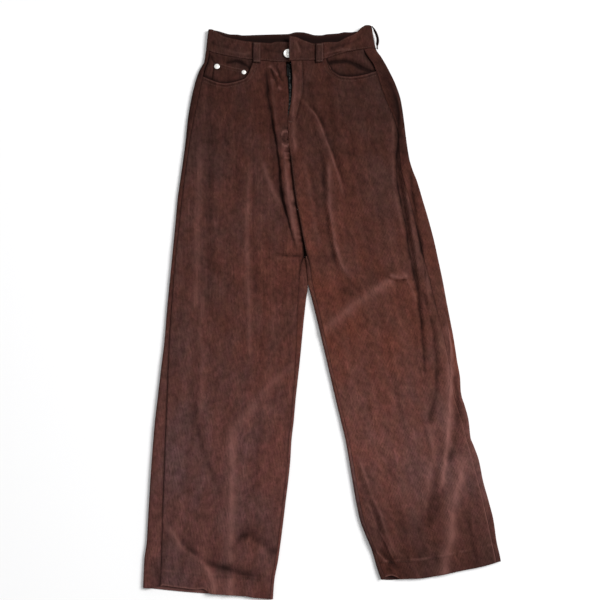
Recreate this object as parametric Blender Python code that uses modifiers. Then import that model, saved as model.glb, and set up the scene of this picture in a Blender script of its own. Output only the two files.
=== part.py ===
"""Corduroy trousers laid flat on their back, with the waistband open at the button.

Metres, +Z up, +Y towards the waist. The wearer's right leg lies at -X.
"""

import math
from bisect import bisect_right
from collections import namedtuple

import bmesh
import bpy
from mathutils import Vector

# Cloth and layers
CLOTH = 0.0015            # wall of a trouser panel
BAND_CLOTH = 0.0026       # waistband, cloth doubled on itself
LINING_CLOTH = 0.0010     # pocket bearers and coin pocket
STRAP_CLOTH = 0.0018      # belt loops
SEAM_GAP = 0.0003         # between pieces sewn edge to edge, and between stacked layers
LOFT = 0.0064             # floor to the outer face of the top layer
WAIST_RISE = 0.0006       # how much more the top layer stands up at the waist
WAIST_RISE_FROM = 0.360   # where that rise starts, and how long it takes
WAIST_RISE_OVER = 0.080
LEAST_LOFT = 0.0040       # deepest that a crease presses the top layer
EDGE_LOFT = 0.0052        # least height of a rolled edge
FOLD_FADE = 0.25          # share of a crease's route over which each end dies away

# Rolled edges: how far in from the outline the roll reaches
OUTER_ROLL_TOP = 0.0050
OUTER_ROLL_FLOOR = 0.0030
INNER_ROLL_TOP = 0.0034
INNER_ROLL_FLOOR = 0.0028
ROLL_STEPS = 4            # faces round a rolled edge

# Waistband
BAND_PROUD = 0.0006       # how far its face stands above the panels
BAND_LEAN = 0.0014        # how much more its top edge stands up than its seam
UNDERLAP_X = -0.0420      # end that carries the button
UNDERLAP_DIP = 0.0008     # how much lower that end lies, from here on and over this length
UNDERLAP_DIP_FROM = -0.095
UNDERLAP_DIP_OVER = 0.020
TAB_X = -0.0595           # end that lies over the button
BAND_SIDE = (0.475, 0.517)  # foot and top of the waistband at its two sides
BAND_RUN = 14             # faces along each front run
BAND_BACK_RUN = 14
BAND_ROWS = 3

# Hardware
BUTTON_AT = (-0.0615, 0.4640)
BUTTON_RADIUS = 0.0085
BUTTON_COLLAR = 0.55         # radius of its foot, as a share of the cap's
SLIDER_AT = (-0.0610, 0.4395)
TAPE_CLOTH = 0.0008
TAPE_WIDE = 0.0260
TAPE_ENDS = (0.4440, 0.3300)

Crossing = namedtuple("Crossing", "y edge seam")
Point = namedtuple("Point", "x y")
Draw = namedtuple("Draw", "across up")
Hem = namedtuple("Hem", "across y")
Fold = namedtuple("Fold", "name high left right path")
Rise = namedtuple("Rise", "name high x y reach_x reach_y")
Rivet = namedtuple("Rivet", "name x y radius")
Ring = namedtuple("Ring", "share z")
Stretch = namedtuple("Stretch", "name end rows")
Loop = namedtuple("Loop", "name side x")

# Heights along the centre line: where the panels' rows run straight, where the inseams begin, and the fork
LEVEL_Y = 0.300
JUNCTION_Y = 0.076
FORK_Y = 0.027
WAIST_Y = 0.4725

# The leg's outer outline, and the outseam that has rolled on to the front
OUTER = {
    "right": (
        Crossing(0.520, -0.2115, -0.2050), Crossing(0.490, -0.2145, -0.2078),
        Crossing(0.474, -0.2158, -0.2090), Crossing(0.454, -0.2180, -0.2110),
        Crossing(0.448, -0.2192, -0.2122), Crossing(0.442, -0.2225, -0.2150),
        Crossing(0.430, -0.2282, -0.2182), Crossing(0.412, -0.2340, -0.2212),
        Crossing(0.373, -0.2422, -0.2290), Crossing(0.334, -0.2475, -0.2360),
        Crossing(0.296, -0.2505, -0.2420), Crossing(0.257, -0.2545, -0.2465),
        Crossing(0.219, -0.2590, -0.2508), Crossing(0.181, -0.2632, -0.2548),
        Crossing(0.143, -0.2657, -0.2582), Crossing(0.106, -0.2683, -0.2612),
        Crossing(0.069, -0.2710, -0.2642), Crossing(0.032, -0.2738, -0.2665),
        Crossing(-0.005, -0.2765, -0.2685), Crossing(-0.041, -0.2788, -0.2702),
        Crossing(-0.077, -0.2808, -0.2715), Crossing(-0.113, -0.2843, -0.2724),
        Crossing(-0.148, -0.2876, -0.2730), Crossing(-0.184, -0.2909, -0.2736),
        Crossing(-0.219, -0.2941, -0.2743), Crossing(-0.254, -0.2964, -0.2749),
        Crossing(-0.288, -0.2981, -0.2754), Crossing(-0.323, -0.2998, -0.2759),
        Crossing(-0.357, -0.3009, -0.2763), Crossing(-0.391, -0.3021, -0.2766),
        Crossing(-0.424, -0.3029, -0.2769), Crossing(-0.458, -0.3066, -0.2772),
        Crossing(-0.491, -0.3072, -0.2775), Crossing(-0.530, -0.3078, -0.2778),
    ),
    "left": (
        Crossing(0.520, 0.0960, 0.0780), Crossing(0.484, 0.1018, 0.0797),
        Crossing(0.472, 0.1052, 0.0812), Crossing(0.461, 0.1125, 0.0872),
        Crossing(0.443, 0.1225, 0.0985), Crossing(0.430, 0.1288, 0.1035),
        Crossing(0.404, 0.1400, 0.1110), Crossing(0.373, 0.1490, 0.1210),
        Crossing(0.334, 0.1540, 0.1360), Crossing(0.305, 0.1568, 0.1425),
        Crossing(0.260, 0.1625, 0.1447), Crossing(0.238, 0.1685, 0.1465),
        Crossing(0.219, 0.1755, 0.1505), Crossing(0.181, 0.1858, 0.1615),
        Crossing(0.149, 0.1943, 0.1690), Crossing(0.106, 0.2044, 0.1775),
        Crossing(0.070, 0.2113, 0.1855), Crossing(0.032, 0.2183, 0.1945),
        Crossing(-0.005, 0.2240, 0.2025), Crossing(-0.041, 0.2299, 0.2108),
        Crossing(-0.077, 0.2356, 0.2188), Crossing(-0.113, 0.2402, 0.2242),
        Crossing(-0.148, 0.2450, 0.2288), Crossing(-0.163, 0.2452, 0.2308),
        Crossing(-0.177, 0.2469, 0.2335), Crossing(-0.191, 0.2512, 0.2370),
        Crossing(-0.219, 0.2577, 0.2455), Crossing(-0.249, 0.2603, 0.2522),
        Crossing(-0.261, 0.2647, 0.2560), Crossing(-0.288, 0.2736, 0.2625),
        Crossing(-0.323, 0.2797, 0.2702), Crossing(-0.357, 0.2882, 0.2785),
        Crossing(-0.391, 0.2958, 0.2847), Crossing(-0.424, 0.2995, 0.2910),
        Crossing(-0.458, 0.3058, 0.2970), Crossing(-0.480, 0.3075, 0.2990),
    ),
}

# The centre front down to the crotch and the leg's inner outline below it, with the inseam on the front
INNER = {
    "right": (
        Crossing(0.460, -0.0670, -0.0670), Crossing(0.427, -0.0632, -0.0632),
        Crossing(0.399, -0.0612, -0.0612), Crossing(0.374, -0.0598, -0.0598),
        Crossing(0.346, -0.0616, -0.0616), Crossing(0.335, -0.0618, -0.0618),
        Crossing(0.307, -0.0612, -0.0612), Crossing(0.267, -0.0570, -0.0570),
        Crossing(0.221, -0.0520, -0.0520), Crossing(0.182, -0.0470, -0.0470),
        Crossing(0.133, -0.0380, -0.0380), Crossing(0.076, -0.0290, -0.0320),
        Crossing(0.060, -0.0270, -0.0375), Crossing(0.027, -0.0245, -0.0405),
        Crossing(-0.005, -0.0281, -0.0430), Crossing(-0.041, -0.0321, -0.0442),
        Crossing(-0.077, -0.0355, -0.0455), Crossing(-0.113, -0.0390, -0.0472),
        Crossing(-0.148, -0.0428, -0.0492), Crossing(-0.184, -0.0467, -0.0522),
        Crossing(-0.219, -0.0497, -0.0550), Crossing(-0.254, -0.0537, -0.0590),
        Crossing(-0.288, -0.0557, -0.0610), Crossing(-0.323, -0.0592, -0.0645),
        Crossing(-0.357, -0.0635, -0.0688), Crossing(-0.391, -0.0675, -0.0728),
        Crossing(-0.424, -0.0717, -0.0770), Crossing(-0.458, -0.0765, -0.0818),
        Crossing(-0.491, -0.0827, -0.0880), Crossing(-0.530, -0.0855, -0.0908),
    ),
    "left": (
        Crossing(0.460, -0.0565, -0.0565), Crossing(0.416, -0.0535, -0.0535),
        Crossing(0.391, -0.0540, -0.0540), Crossing(0.373, -0.0553, -0.0553),
        Crossing(0.356, -0.0582, -0.0582), Crossing(0.335, -0.0618, -0.0618),
        Crossing(0.307, -0.0612, -0.0612), Crossing(0.267, -0.0570, -0.0570),
        Crossing(0.221, -0.0520, -0.0520), Crossing(0.182, -0.0470, -0.0470),
        Crossing(0.133, -0.0380, -0.0380), Crossing(0.076, -0.0290, -0.0265),
        Crossing(0.060, -0.0270, -0.0220), Crossing(0.027, -0.0245, -0.0165),
        Crossing(-0.005, -0.0171, -0.0095), Crossing(-0.041, -0.0084, -0.0012),
        Crossing(-0.077, -0.0001, 0.0067), Crossing(-0.113, 0.0082, 0.0147),
        Crossing(-0.148, 0.0161, 0.0226), Crossing(-0.184, 0.0244, 0.0309),
        Crossing(-0.219, 0.0327, 0.0392), Crossing(-0.254, 0.0408, 0.0473),
        Crossing(-0.288, 0.0465, 0.0530), Crossing(-0.323, 0.0521, 0.0586),
        Crossing(-0.357, 0.0577, 0.0642), Crossing(-0.391, 0.0650, 0.0715),
        Crossing(-0.408, 0.0709, 0.0774), Crossing(-0.424, 0.0777, 0.0842),
        Crossing(-0.441, 0.0846, 0.0911), Crossing(-0.474, 0.0940, 0.1005),
        Crossing(-0.500, 0.1040, 0.1105),
    ),
}

# Centre back seam, flat on the floor
CENTRE_BACK = (Point(-0.057, 0.520), Point(-0.055, 0.300), Point(-0.042, 0.150), Point(-0.0245, 0.027))

# Waist seam and top edge of the waistband, on the front and on the back
FRONT_SEAM = (
    Point(-0.225, 0.4735), Point(-0.214, 0.4710), Point(-0.198, 0.4658), Point(-0.170, 0.4590),
    Point(-0.142, 0.4540), Point(-0.114, 0.4515), Point(-0.078, 0.4485), Point(-0.061, 0.4482),
    Point(-0.045, 0.4493), Point(-0.030, 0.4503), Point(-0.010, 0.4512), Point(0.000, 0.4525),
    Point(0.010, 0.4550), Point(0.022, 0.4592), Point(0.036, 0.4640), Point(0.051, 0.4685),
    Point(0.068, 0.4720), Point(0.085, 0.4745), Point(0.097, 0.4755), Point(0.110, 0.4755),
)
BACK_SEAM = (Point(-0.225, 0.4720), Point(0.110, 0.4750))
FRONT_TOP = {
    "right": (
        Point(-0.212, 0.5130), Point(-0.205, 0.5125), Point(-0.196, 0.507), Point(-0.180, 0.498),
        Point(-0.161, 0.493), Point(-0.142, 0.489), Point(-0.110, 0.486), Point(-0.095, 0.485),
        Point(-0.081, 0.488), Point(-0.042, 0.486),
    ),
    "left": (
        Point(-0.0595, 0.498), Point(-0.047, 0.496), Point(-0.033, 0.490), Point(-0.011, 0.484),
        Point(0.014, 0.487), Point(0.029, 0.487), Point(0.045, 0.495), Point(0.064, 0.504),
        Point(0.078, 0.517), Point(0.086, 0.521), Point(0.091, 0.521), Point(0.096, 0.518),
    ),
}
BACK_TOP = (
    Point(-0.212, 0.5145), Point(-0.204, 0.514), Point(-0.192, 0.5115), Point(-0.181, 0.508),
    Point(-0.170, 0.5052), Point(-0.158, 0.505), Point(-0.147, 0.5033), Point(-0.125, 0.504),
    Point(-0.096, 0.505), Point(-0.062, 0.506), Point(-0.0455, 0.5098), Point(-0.034, 0.5095),
    Point(-0.023, 0.507), Point(-0.011, 0.5038), Point(0.000, 0.5035), Point(0.011, 0.5055),
    Point(0.034, 0.5075), Point(0.045, 0.5098), Point(0.056, 0.5095), Point(0.068, 0.511),
    Point(0.096, 0.517),
)

# Hem of each leg from its outer corner to its inner one, and how far the front layer is drawn up from it
HEM = {
    "right": (
        Hem(0.00, -0.5032), Hem(0.30, -0.5097), Hem(0.54, -0.5136), Hem(0.79, -0.5172),
        Hem(0.86, -0.5197), Hem(1.00, -0.5220),
    ),
    "left": (
        Hem(0.00, -0.4585), Hem(0.13, -0.4668), Hem(0.34, -0.4755), Hem(0.54, -0.4838),
        Hem(0.68, -0.4877), Hem(0.81, -0.4887), Hem(0.95, -0.4903), Hem(1.00, -0.4895),
    ),
}
HEM_DRAWN_UP = {
    "right": (
        Draw(0.00, 0.0), Draw(0.08, 0.001), Draw(0.15, 0.008), Draw(0.30, 0.006), Draw(0.50, 0.004),
        Draw(0.56, 0.001), Draw(1.00, 0.0),
    ),
    "left": (Draw(0.00, 0.0), Draw(0.85, 0.0), Draw(0.92, 0.004), Draw(1.00, 0.003)),
}

# Scooped pocket openings, from the outseam to the waist seam
SCOOP = {
    "right": (
        Point(-0.222, 0.4200), Point(-0.217, 0.4178), Point(-0.206, 0.4128), Point(-0.191, 0.4072),
        Point(-0.178, 0.4055), Point(-0.166, 0.4072), Point(-0.152, 0.4110), Point(-0.1445, 0.4138),
        Point(-0.138, 0.4195), Point(-0.134, 0.4270), Point(-0.130, 0.4370), Point(-0.1265, 0.4535),
    ),
    "left": (
        Point(0.116, 0.4345), Point(0.102, 0.4293), Point(0.084, 0.4228), Point(0.068, 0.4195),
        Point(0.0525, 0.4180), Point(0.037, 0.4195), Point(0.028, 0.4245), Point(0.017, 0.4350),
        Point(0.0105, 0.4545),
    ),
}
POCKET_END = {"right": 0.4190, "left": 0.4300}
POCKET_GAPE = {"right": 0.0008, "left": 0.0018}
GAPE_REACH = 0.012       # how far from the opening the front still stands up
GAPE_START = 0.08        # share across at which the gape is full
BEARER_DEPTH = {"right": 0.0031, "left": 0.0021}   # how far it lies under the front's face
BEARER_INNER = {"right": -0.1180, "left": 0.0020}
BEARER_FLOOR = {"right": 0.3860, "left": 0.3980}
BEARER_INSET = 0.0006    # in from the outseam

# Coin pocket, sewn on the right bearer: its top edge, its slanted outer side and its hidden lower edge
COIN_TOP = (
    Point(-0.199, 0.4450), Point(-0.189, 0.4458), Point(-0.1735, 0.4415), Point(-0.1595, 0.4380),
    Point(-0.149, 0.4362), Point(-0.137, 0.4335),
)
COIN_LOWER_X = -0.2055
COIN_FLOOR = 0.3930
RIVETS = (Rivet("rivet_outer", -0.1945, 0.4398, 0.0051), Rivet("rivet_inner", -0.1440, 0.4283, 0.0042))
# Sections of the button and of a rivet, from the top middle down the outer side: share of the radius, height
BUTTON_RINGS = (
    Ring(0.0, 0.0020), Ring(0.32, 0.0020), Ring(0.42, 0.0016), Ring(0.66, 0.0016),
    Ring(0.76, 0.0023), Ring(0.88, 0.0024), Ring(1.0, 0.0018), Ring(1.0, 0.0013),
    Ring(0.9, 0.0010), Ring(BUTTON_COLLAR, 0.0010), Ring(BUTTON_COLLAR, 0.0), Ring(0.0, 0.0),
)
RIVET_RINGS = (
    Ring(0.0, 0.0014), Ring(0.30, 0.0014), Ring(0.42, 0.0010), Ring(0.62, 0.0011), Ring(0.85, 0.0009),
    Ring(1.0, 0.0003), Ring(1.0, 0.0), Ring(0.0, 0.0),
)

# Creases of the top layer: height (negative presses in), reach to the left and to the right, and route
FOLDS = {
    "right": (
        Fold("crotch pleat", 0.0026, 0.0022, 0.0100,
             (Point(-0.093, 0.372), Point(-0.085, 0.315), Point(-0.075, 0.245), Point(-0.067, 0.180),
              Point(-0.050, 0.100))),
        Fold("hollow beside the pleat", -0.0012, 0.0160, 0.0050,
             (Point(-0.104, 0.372), Point(-0.098, 0.300), Point(-0.086, 0.220), Point(-0.066, 0.140))),
        Fold("thigh ridge", 0.0010, 0.0120, 0.0070,
             (Point(-0.137, 0.290), Point(-0.137, 0.150), Point(-0.142, 0.020))),
        Fold("outer thigh ridge", 0.0009, 0.0060, 0.0140,
             (Point(-0.229, 0.330), Point(-0.226, 0.220), Point(-0.236, 0.060))),
        Fold("knee ridge", 0.0011, 0.0160, 0.0120,
             (Point(-0.120, 0.020), Point(-0.128, -0.120), Point(-0.140, -0.270))),
        Fold("shin ridge", 0.0010, 0.0100, 0.0180,
             (Point(-0.214, -0.080), Point(-0.222, -0.220), Point(-0.232, -0.360))),
        Fold("hem ridge", 0.0021, 0.0090, 0.0100,
             (Point(-0.278, -0.396), Point(-0.238, -0.435), Point(-0.203, -0.464), Point(-0.188, -0.500))),
        Fold("hem trough", -0.0016, 0.0080, 0.0080,
             (Point(-0.262, -0.385), Point(-0.224, -0.424), Point(-0.180, -0.452), Point(-0.120, -0.480))),
        Fold("inner hem trough", -0.0012, 0.0090, 0.0090,
             (Point(-0.156, -0.425), Point(-0.126, -0.415), Point(-0.088, -0.440))),
    ),
    "left": (
        Fold("lapped centre front", 0.0030, 0.0040, 0.0180,
             (Point(-0.061, 0.320), Point(-0.055, 0.246), Point(-0.046, 0.172), Point(-0.031, 0.090),
              Point(-0.022, 0.010))),
        Fold("fly ridge", 0.0012, 0.0060, 0.0080,
             (Point(-0.034, 0.372), Point(-0.024, 0.352), Point(0.022, 0.252))),
        Fold("fly trough", -0.0016, 0.0050, 0.0090,
             (Point(-0.018, 0.356), Point(0.012, 0.292), Point(0.042, 0.205))),
        Fold("side crease", -0.0024, 0.0060, 0.0045,
             (Point(0.139, 0.330), Point(0.139, 0.244), Point(0.148, 0.177), Point(0.158, 0.108),
              Point(0.173, -0.010), Point(0.186, -0.120))),
        Fold("side ridge", 0.0021, 0.0070, 0.0100,
             (Point(0.151, 0.300), Point(0.154, 0.220), Point(0.164, 0.140), Point(0.175, 0.060),
              Point(0.187, -0.030))),
        Fold("second side crease", -0.0020, 0.0050, 0.0050,
             (Point(0.163, 0.224), Point(0.170, 0.150), Point(0.180, 0.090), Point(0.193, 0.030))),
        Fold("knee crease", -0.0018, 0.0060, 0.0060,
             (Point(0.209, 0.020), Point(0.213, -0.030), Point(0.222, -0.090), Point(0.240, -0.205))),
        Fold("thigh ridge", 0.0011, 0.0120, 0.0140,
             (Point(0.062, 0.330), Point(0.084, 0.200), Point(0.100, 0.040))),
        Fold("knee ridge", 0.0012, 0.0140, 0.0160,
             (Point(0.118, 0.020), Point(0.136, -0.120), Point(0.150, -0.260))),
        Fold("shin ridge", 0.0016, 0.0120, 0.0120,
             (Point(0.212, -0.210), Point(0.208, -0.300), Point(0.198, -0.420))),
        Fold("inner shin ridge", 0.0010, 0.0120, 0.0100,
             (Point(0.108, -0.220), Point(0.130, -0.320), Point(0.150, -0.430))),
    ),
}
# Round swells of the top layer
RISES = {
    "right": (Rise("open hem", 0.0016, -0.238, -0.505, 0.030, 0.022),),
    "left": (Rise("tab over the button", 0.0063, -0.058, 0.463, 0.030, 0.040),),
}

# Rows of the panels, from the waist down: each stretch ends where the inner edge has this y, the first one
# at the foot of the pocket opening and the last one at the hem
STRETCHES = (
    Stretch("pocket mouth", None, 2),
    Stretch("hip", LEVEL_Y, 5),
    Stretch("rise", JUNCTION_Y, 6),
    Stretch("crotch", FORK_Y, 2),
    Stretch("leg", None, 20),
)
FRONT_COLUMNS = 20
COLUMN_BUNCHING = 0.6    # 0 spaces the columns evenly
SEAM_STRIP = 0.0025      # narrow face beside the outseam, so that both edges there tilt alike
WRAP_COLUMNS = 2
FLOOR_COLUMNS = 3
HEM_DRAW_FROM = 0.95      # share down below which the front's hem is drawn up

SIDES = ("right", "left")
INWARD = {"right": 1.0, "left": -1.0}


def smooth_line(rows, key, value):
    """A smooth function through a table's rows, which never swings past them."""
    pairs = sorted((getattr(row, key), getattr(row, value)) for row in rows)
    at = [pair[0] for pair in pairs]
    to = [pair[1] for pair in pairs]
    steps = [b - a for a, b in zip(at, at[1:])]
    slopes = [(b - a) / step for a, b, step in zip(to, to[1:], steps)]
    tangents = [slopes[0]]
    for before, after in zip(slopes, slopes[1:]):
        tangents.append(0.0 if before * after <= 0 else 2 * before * after / (before + after))
    tangents.append(slopes[-1])

    def read(position):
        position = min(max(position, at[0]), at[-1])
        i = min(max(bisect_right(at, position) - 1, 0), len(steps) - 1)
        step = steps[i]
        s = (position - at[i]) / step
        return (
            (2 * s**3 - 3 * s**2 + 1) * to[i] + (s**3 - 2 * s**2 + s) * step * tangents[i]
            + (3 * s**2 - 2 * s**3) * to[i + 1] + (s**3 - s**2) * step * tangents[i + 1]
        )

    return read


OUTER_EDGE = {side: smooth_line(OUTER[side], "y", "edge") for side in SIDES}
OUTSEAM = {side: smooth_line(OUTER[side], "y", "seam") for side in SIDES}
INNER_EDGE = {side: smooth_line(INNER[side], "y", "edge") for side in SIDES}
INSEAM = {side: smooth_line(INNER[side], "y", "seam") for side in SIDES}
FRONT_SEAM_Y = smooth_line(FRONT_SEAM, "x", "y")
BACK_SEAM_Y = smooth_line(BACK_SEAM, "x", "y")
FRONT_TOP_Y = {side: smooth_line(FRONT_TOP[side], "x", "y") for side in SIDES}
BACK_TOP_Y = smooth_line(BACK_TOP, "x", "y")
CENTRE_BACK_X = smooth_line(CENTRE_BACK, "y", "x")
SCOOP_Y = {side: smooth_line(SCOOP[side], "x", "y") for side in SIDES}
HEM_Y = {side: smooth_line(HEM[side], "across", "y") for side in SIDES}
DRAWN_UP = {side: smooth_line(HEM_DRAWN_UP[side], "across", "up") for side in SIDES}
COIN_TOP_Y = smooth_line(COIN_TOP, "x", "y")


def mix(a, b, share):
    return a + (b - a) * share


def ease(share):
    share = min(max(share, 0.0), 1.0)
    return share * share * (3 - 2 * share)


def fold_height(fold, x, y):
    """What a crease adds to the top layer at this point: full along its route, fading at its ends."""
    lengths = [math.dist(a, b) for a, b in zip(fold.path, fold.path[1:])]
    total = sum(lengths)
    nearest = None
    run = 0.0
    for start, end, length in zip(fold.path, fold.path[1:], lengths):
        along_x, along_y = (end.x - start.x) / length, (end.y - start.y) / length
        along = min(max((x - start.x) * along_x + (y - start.y) * along_y, 0.0), length)
        off = math.hypot(x - start.x - along * along_x, y - start.y - along * along_y)
        if nearest is None or off < nearest[0]:
            to_the_left = (x - start.x) * along_y - (y - start.y) * along_x
            nearest = (off, (run + along) / total, to_the_left)
        run += length
    off, share, to_the_left = nearest
    reach = fold.left if to_the_left > 0 else fold.right
    fade = ease(share / FOLD_FADE) * ease((1 - share) / FOLD_FADE)
    return fold.high * fade * math.exp(-((off / reach) ** 2))


def rise_height(rise, x, y):
    return rise.high * math.exp(-(((x - rise.x) / rise.reach_x) ** 2) - ((y - rise.y) / rise.reach_y) ** 2)


def plain_height(y):
    """The top layer's outer face without its creases."""
    return LOFT + WAIST_RISE * ease((y - WAIST_RISE_FROM) / WAIST_RISE_OVER)


def top_height(side, x, y):
    """The top layer's outer face."""
    height = plain_height(y)
    height += sum(fold_height(fold, x, y) for fold in FOLDS[side])
    height += sum(rise_height(rise, x, y) for rise in RISES[side])
    return max(height, LEAST_LOFT)


def seam_share_y(side, across, layer):
    """The waist seam's y at a share of the way in from the outer edge."""
    seam = FRONT_SEAM_Y if layer == "front" else BACK_SEAM_Y
    y = WAIST_Y
    for _ in range(6):
        x = mix(OUTER_EDGE[side](y), inner_x(side, y, layer), across)
        y = seam(x)
    return y - SEAM_GAP / 2


def inner_x(side, y, layer):
    """The inner edge of a layer, half a seam's gap in from the shared centre line."""
    shared = CENTRE_BACK_X(y) if layer == "back" and y > FORK_Y else INNER_EDGE[side](y)
    return shared - INWARD[side] * SEAM_GAP / 2


def level(side, across, down, layer):
    """The y of a point a share across and a share down, on a layer of the garment."""
    straight = mix(WAIST_Y, HEM_Y[side](across), down)
    fade = 1 - ease(down / down_at(side, LEVEL_Y))
    return straight + (seam_share_y(side, across, layer) - WAIST_Y) * fade


def down_at(side, y):
    """The share down at which the inner edge reaches this y."""
    return (WAIST_Y - y) / (WAIST_Y - HEM_Y[side](1.0))


def rows_of(side):
    """Shares down of the panels' rows, from the waist to the hem."""
    ends = [down_at(side, POCKET_END[side])]
    ends += [down_at(side, stretch.end) for stretch in STRETCHES[1:-1]]
    ends.append(1.0)
    rows = [0.0]
    for end, stretch in zip(ends, STRETCHES):
        start = rows[-1]
        rows += [mix(start, end, step / stretch.rows) for step in range(1, stretch.rows + 1)]
    return rows


def row_number(name):
    """The row at which a stretch ends."""
    count = 0
    for stretch in STRETCHES:
        count += stretch.rows
        if stretch.name == name:
            return count
    raise ValueError(name)


POCKET_ROW = row_number("pocket mouth")
LEVEL_ROW = row_number("hip")
JUNCTION_ROW = row_number("rise")
FORK_ROW = row_number("crotch")
LAST_ROW = row_number("leg")


def new_material(name, color, roughness, metallic=0.0):
    material = bpy.data.materials.new(name)
    material.use_nodes = True
    surface = material.node_tree.nodes["Principled BSDF"]
    surface.inputs["Base Color"].default_value = (*color, 1.0)
    surface.inputs["Roughness"].default_value = roughness
    surface.inputs["Metallic"].default_value = metallic
    return material


def new_object(name, mesh, material, collection, parent):
    made = bpy.data.objects.new(name, mesh)
    mesh.materials.append(material)
    collection.objects.link(made)
    made.parent = parent
    return made


def cloth_piece(name, columns, rows, place, thickness, flipped, finish, keep=None):
    """A grid of cloth set point by point on its outer face, with its wall turned inwards."""
    bm = bmesh.new()
    bmesh.ops.create_grid(bm, x_segments=columns, y_segments=rows, size=1.0)
    numbers = {}
    for vert in bm.verts:
        numbers[vert] = (round((vert.co.x + 1) / 2 * columns), round((1 - vert.co.y) / 2 * rows))
    if keep:
        dropped = []
        for face in bm.faces:
            column = min(numbers[vert][0] for vert in face.verts)
            row = min(numbers[vert][1] for vert in face.verts)
            if not keep(column, row):
                dropped.append(face)
        bmesh.ops.delete(bm, geom=dropped, context="FACES")
    for vert in bm.verts:
        vert.co = Vector(place(*numbers[vert]))
    if flipped:
        bmesh.ops.reverse_faces(bm, faces=bm.faces)
    mesh = bpy.data.meshes.new(name)
    bm.to_mesh(mesh)
    bm.free()
    mesh.shade_smooth()
    made = new_object(name, mesh, *finish)
    wall = made.modifiers.new("Wall", "SOLIDIFY")
    wall.thickness = thickness
    wall.offset = -1.0
    wall.use_even_offset = True
    return made


def scoop_start(side, column_share):
    """The share down at which a column of the front meets the pocket opening, or 0 at the waist seam."""
    low, high = 0.0, down_at(side, LEVEL_Y)
    x, y = front_plan(side, column_share, low)
    if y <= SCOOP_Y[side](x) or INWARD[side] * (x - SCOOP[side][-1].x) > 0:
        return low
    for _ in range(24):
        middle = (low + high) / 2
        x, y = front_plan(side, column_share, middle)
        if y > SCOOP_Y[side](x):
            low = middle
        else:
            high = middle
    return high


def front_plan(side, column_share, down):
    """The point under a front panel, a share of the way from its outseam to its centre front or inseam."""
    across = column_share
    for _ in range(4):
        y = level(side, across, down, "front")
        outer, inner = OUTER_EDGE[side](y), inner_x(side, y, "front")
        first = OUTSEAM[side](y) + INWARD[side] * SEAM_GAP / 2
        last = inner
        if INWARD[side] * (inner - INSEAM[side](y)) > SEAM_GAP:
            last = INSEAM[side](y) - INWARD[side] * SEAM_GAP / 2
        x = mix(first, last, column_share)
        across = (x - outer) / (inner - outer)
    return x, y


def column_shares():
    """Columns of a front, closer together towards its two seams, where the sharper creases are."""
    turn = 2 * math.pi
    even = [step / FRONT_COLUMNS for step in range(FRONT_COLUMNS + 1)]
    return [share - COLUMN_BUNCHING * math.sin(turn * share) / turn for share in even]


def front(side, finish):
    shares = column_shares()
    rows = rows_of(side)
    starts = [scoop_start(side, share) for share in shares]

    def place(column, row):
        number = row + POCKET_ROW
        down = rows[number]
        start = starts[column]
        if number < LEVEL_ROW:
            part = (down - rows[POCKET_ROW]) / (rows[LEVEL_ROW] - rows[POCKET_ROW])
            down = mix(start, rows[LEVEL_ROW], part)
        x, y = front_plan(side, shares[column], down)
        z = top_height(side, x, y)
        if start > 0:
            edge_y = front_plan(side, shares[column], start)[1]
            gape = POCKET_GAPE[side] * ease(shares[column] / GAPE_START)
            z += gape * math.exp(-(edge_y - y) / GAPE_REACH)
        y += DRAWN_UP[side](shares[column]) * ease((down - HEM_DRAW_FROM) / (1 - HEM_DRAW_FROM))
        return x, y, z

    rows_below = LAST_ROW - POCKET_ROW
    return cloth_piece(f"front_{side}", FRONT_COLUMNS, rows_below, place, CLOTH, side == "left", finish)


def roll(step, top_reach, floor_reach, high):
    """How far in from the outline, and how high, at a step round a rolled edge from its top to the floor."""
    angle = math.pi * step / ROLL_STEPS
    reach = top_reach if angle < math.pi / 2 else floor_reach
    return reach * (1 - math.sin(angle)), high / 2 * (1 + math.cos(angle))


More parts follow.
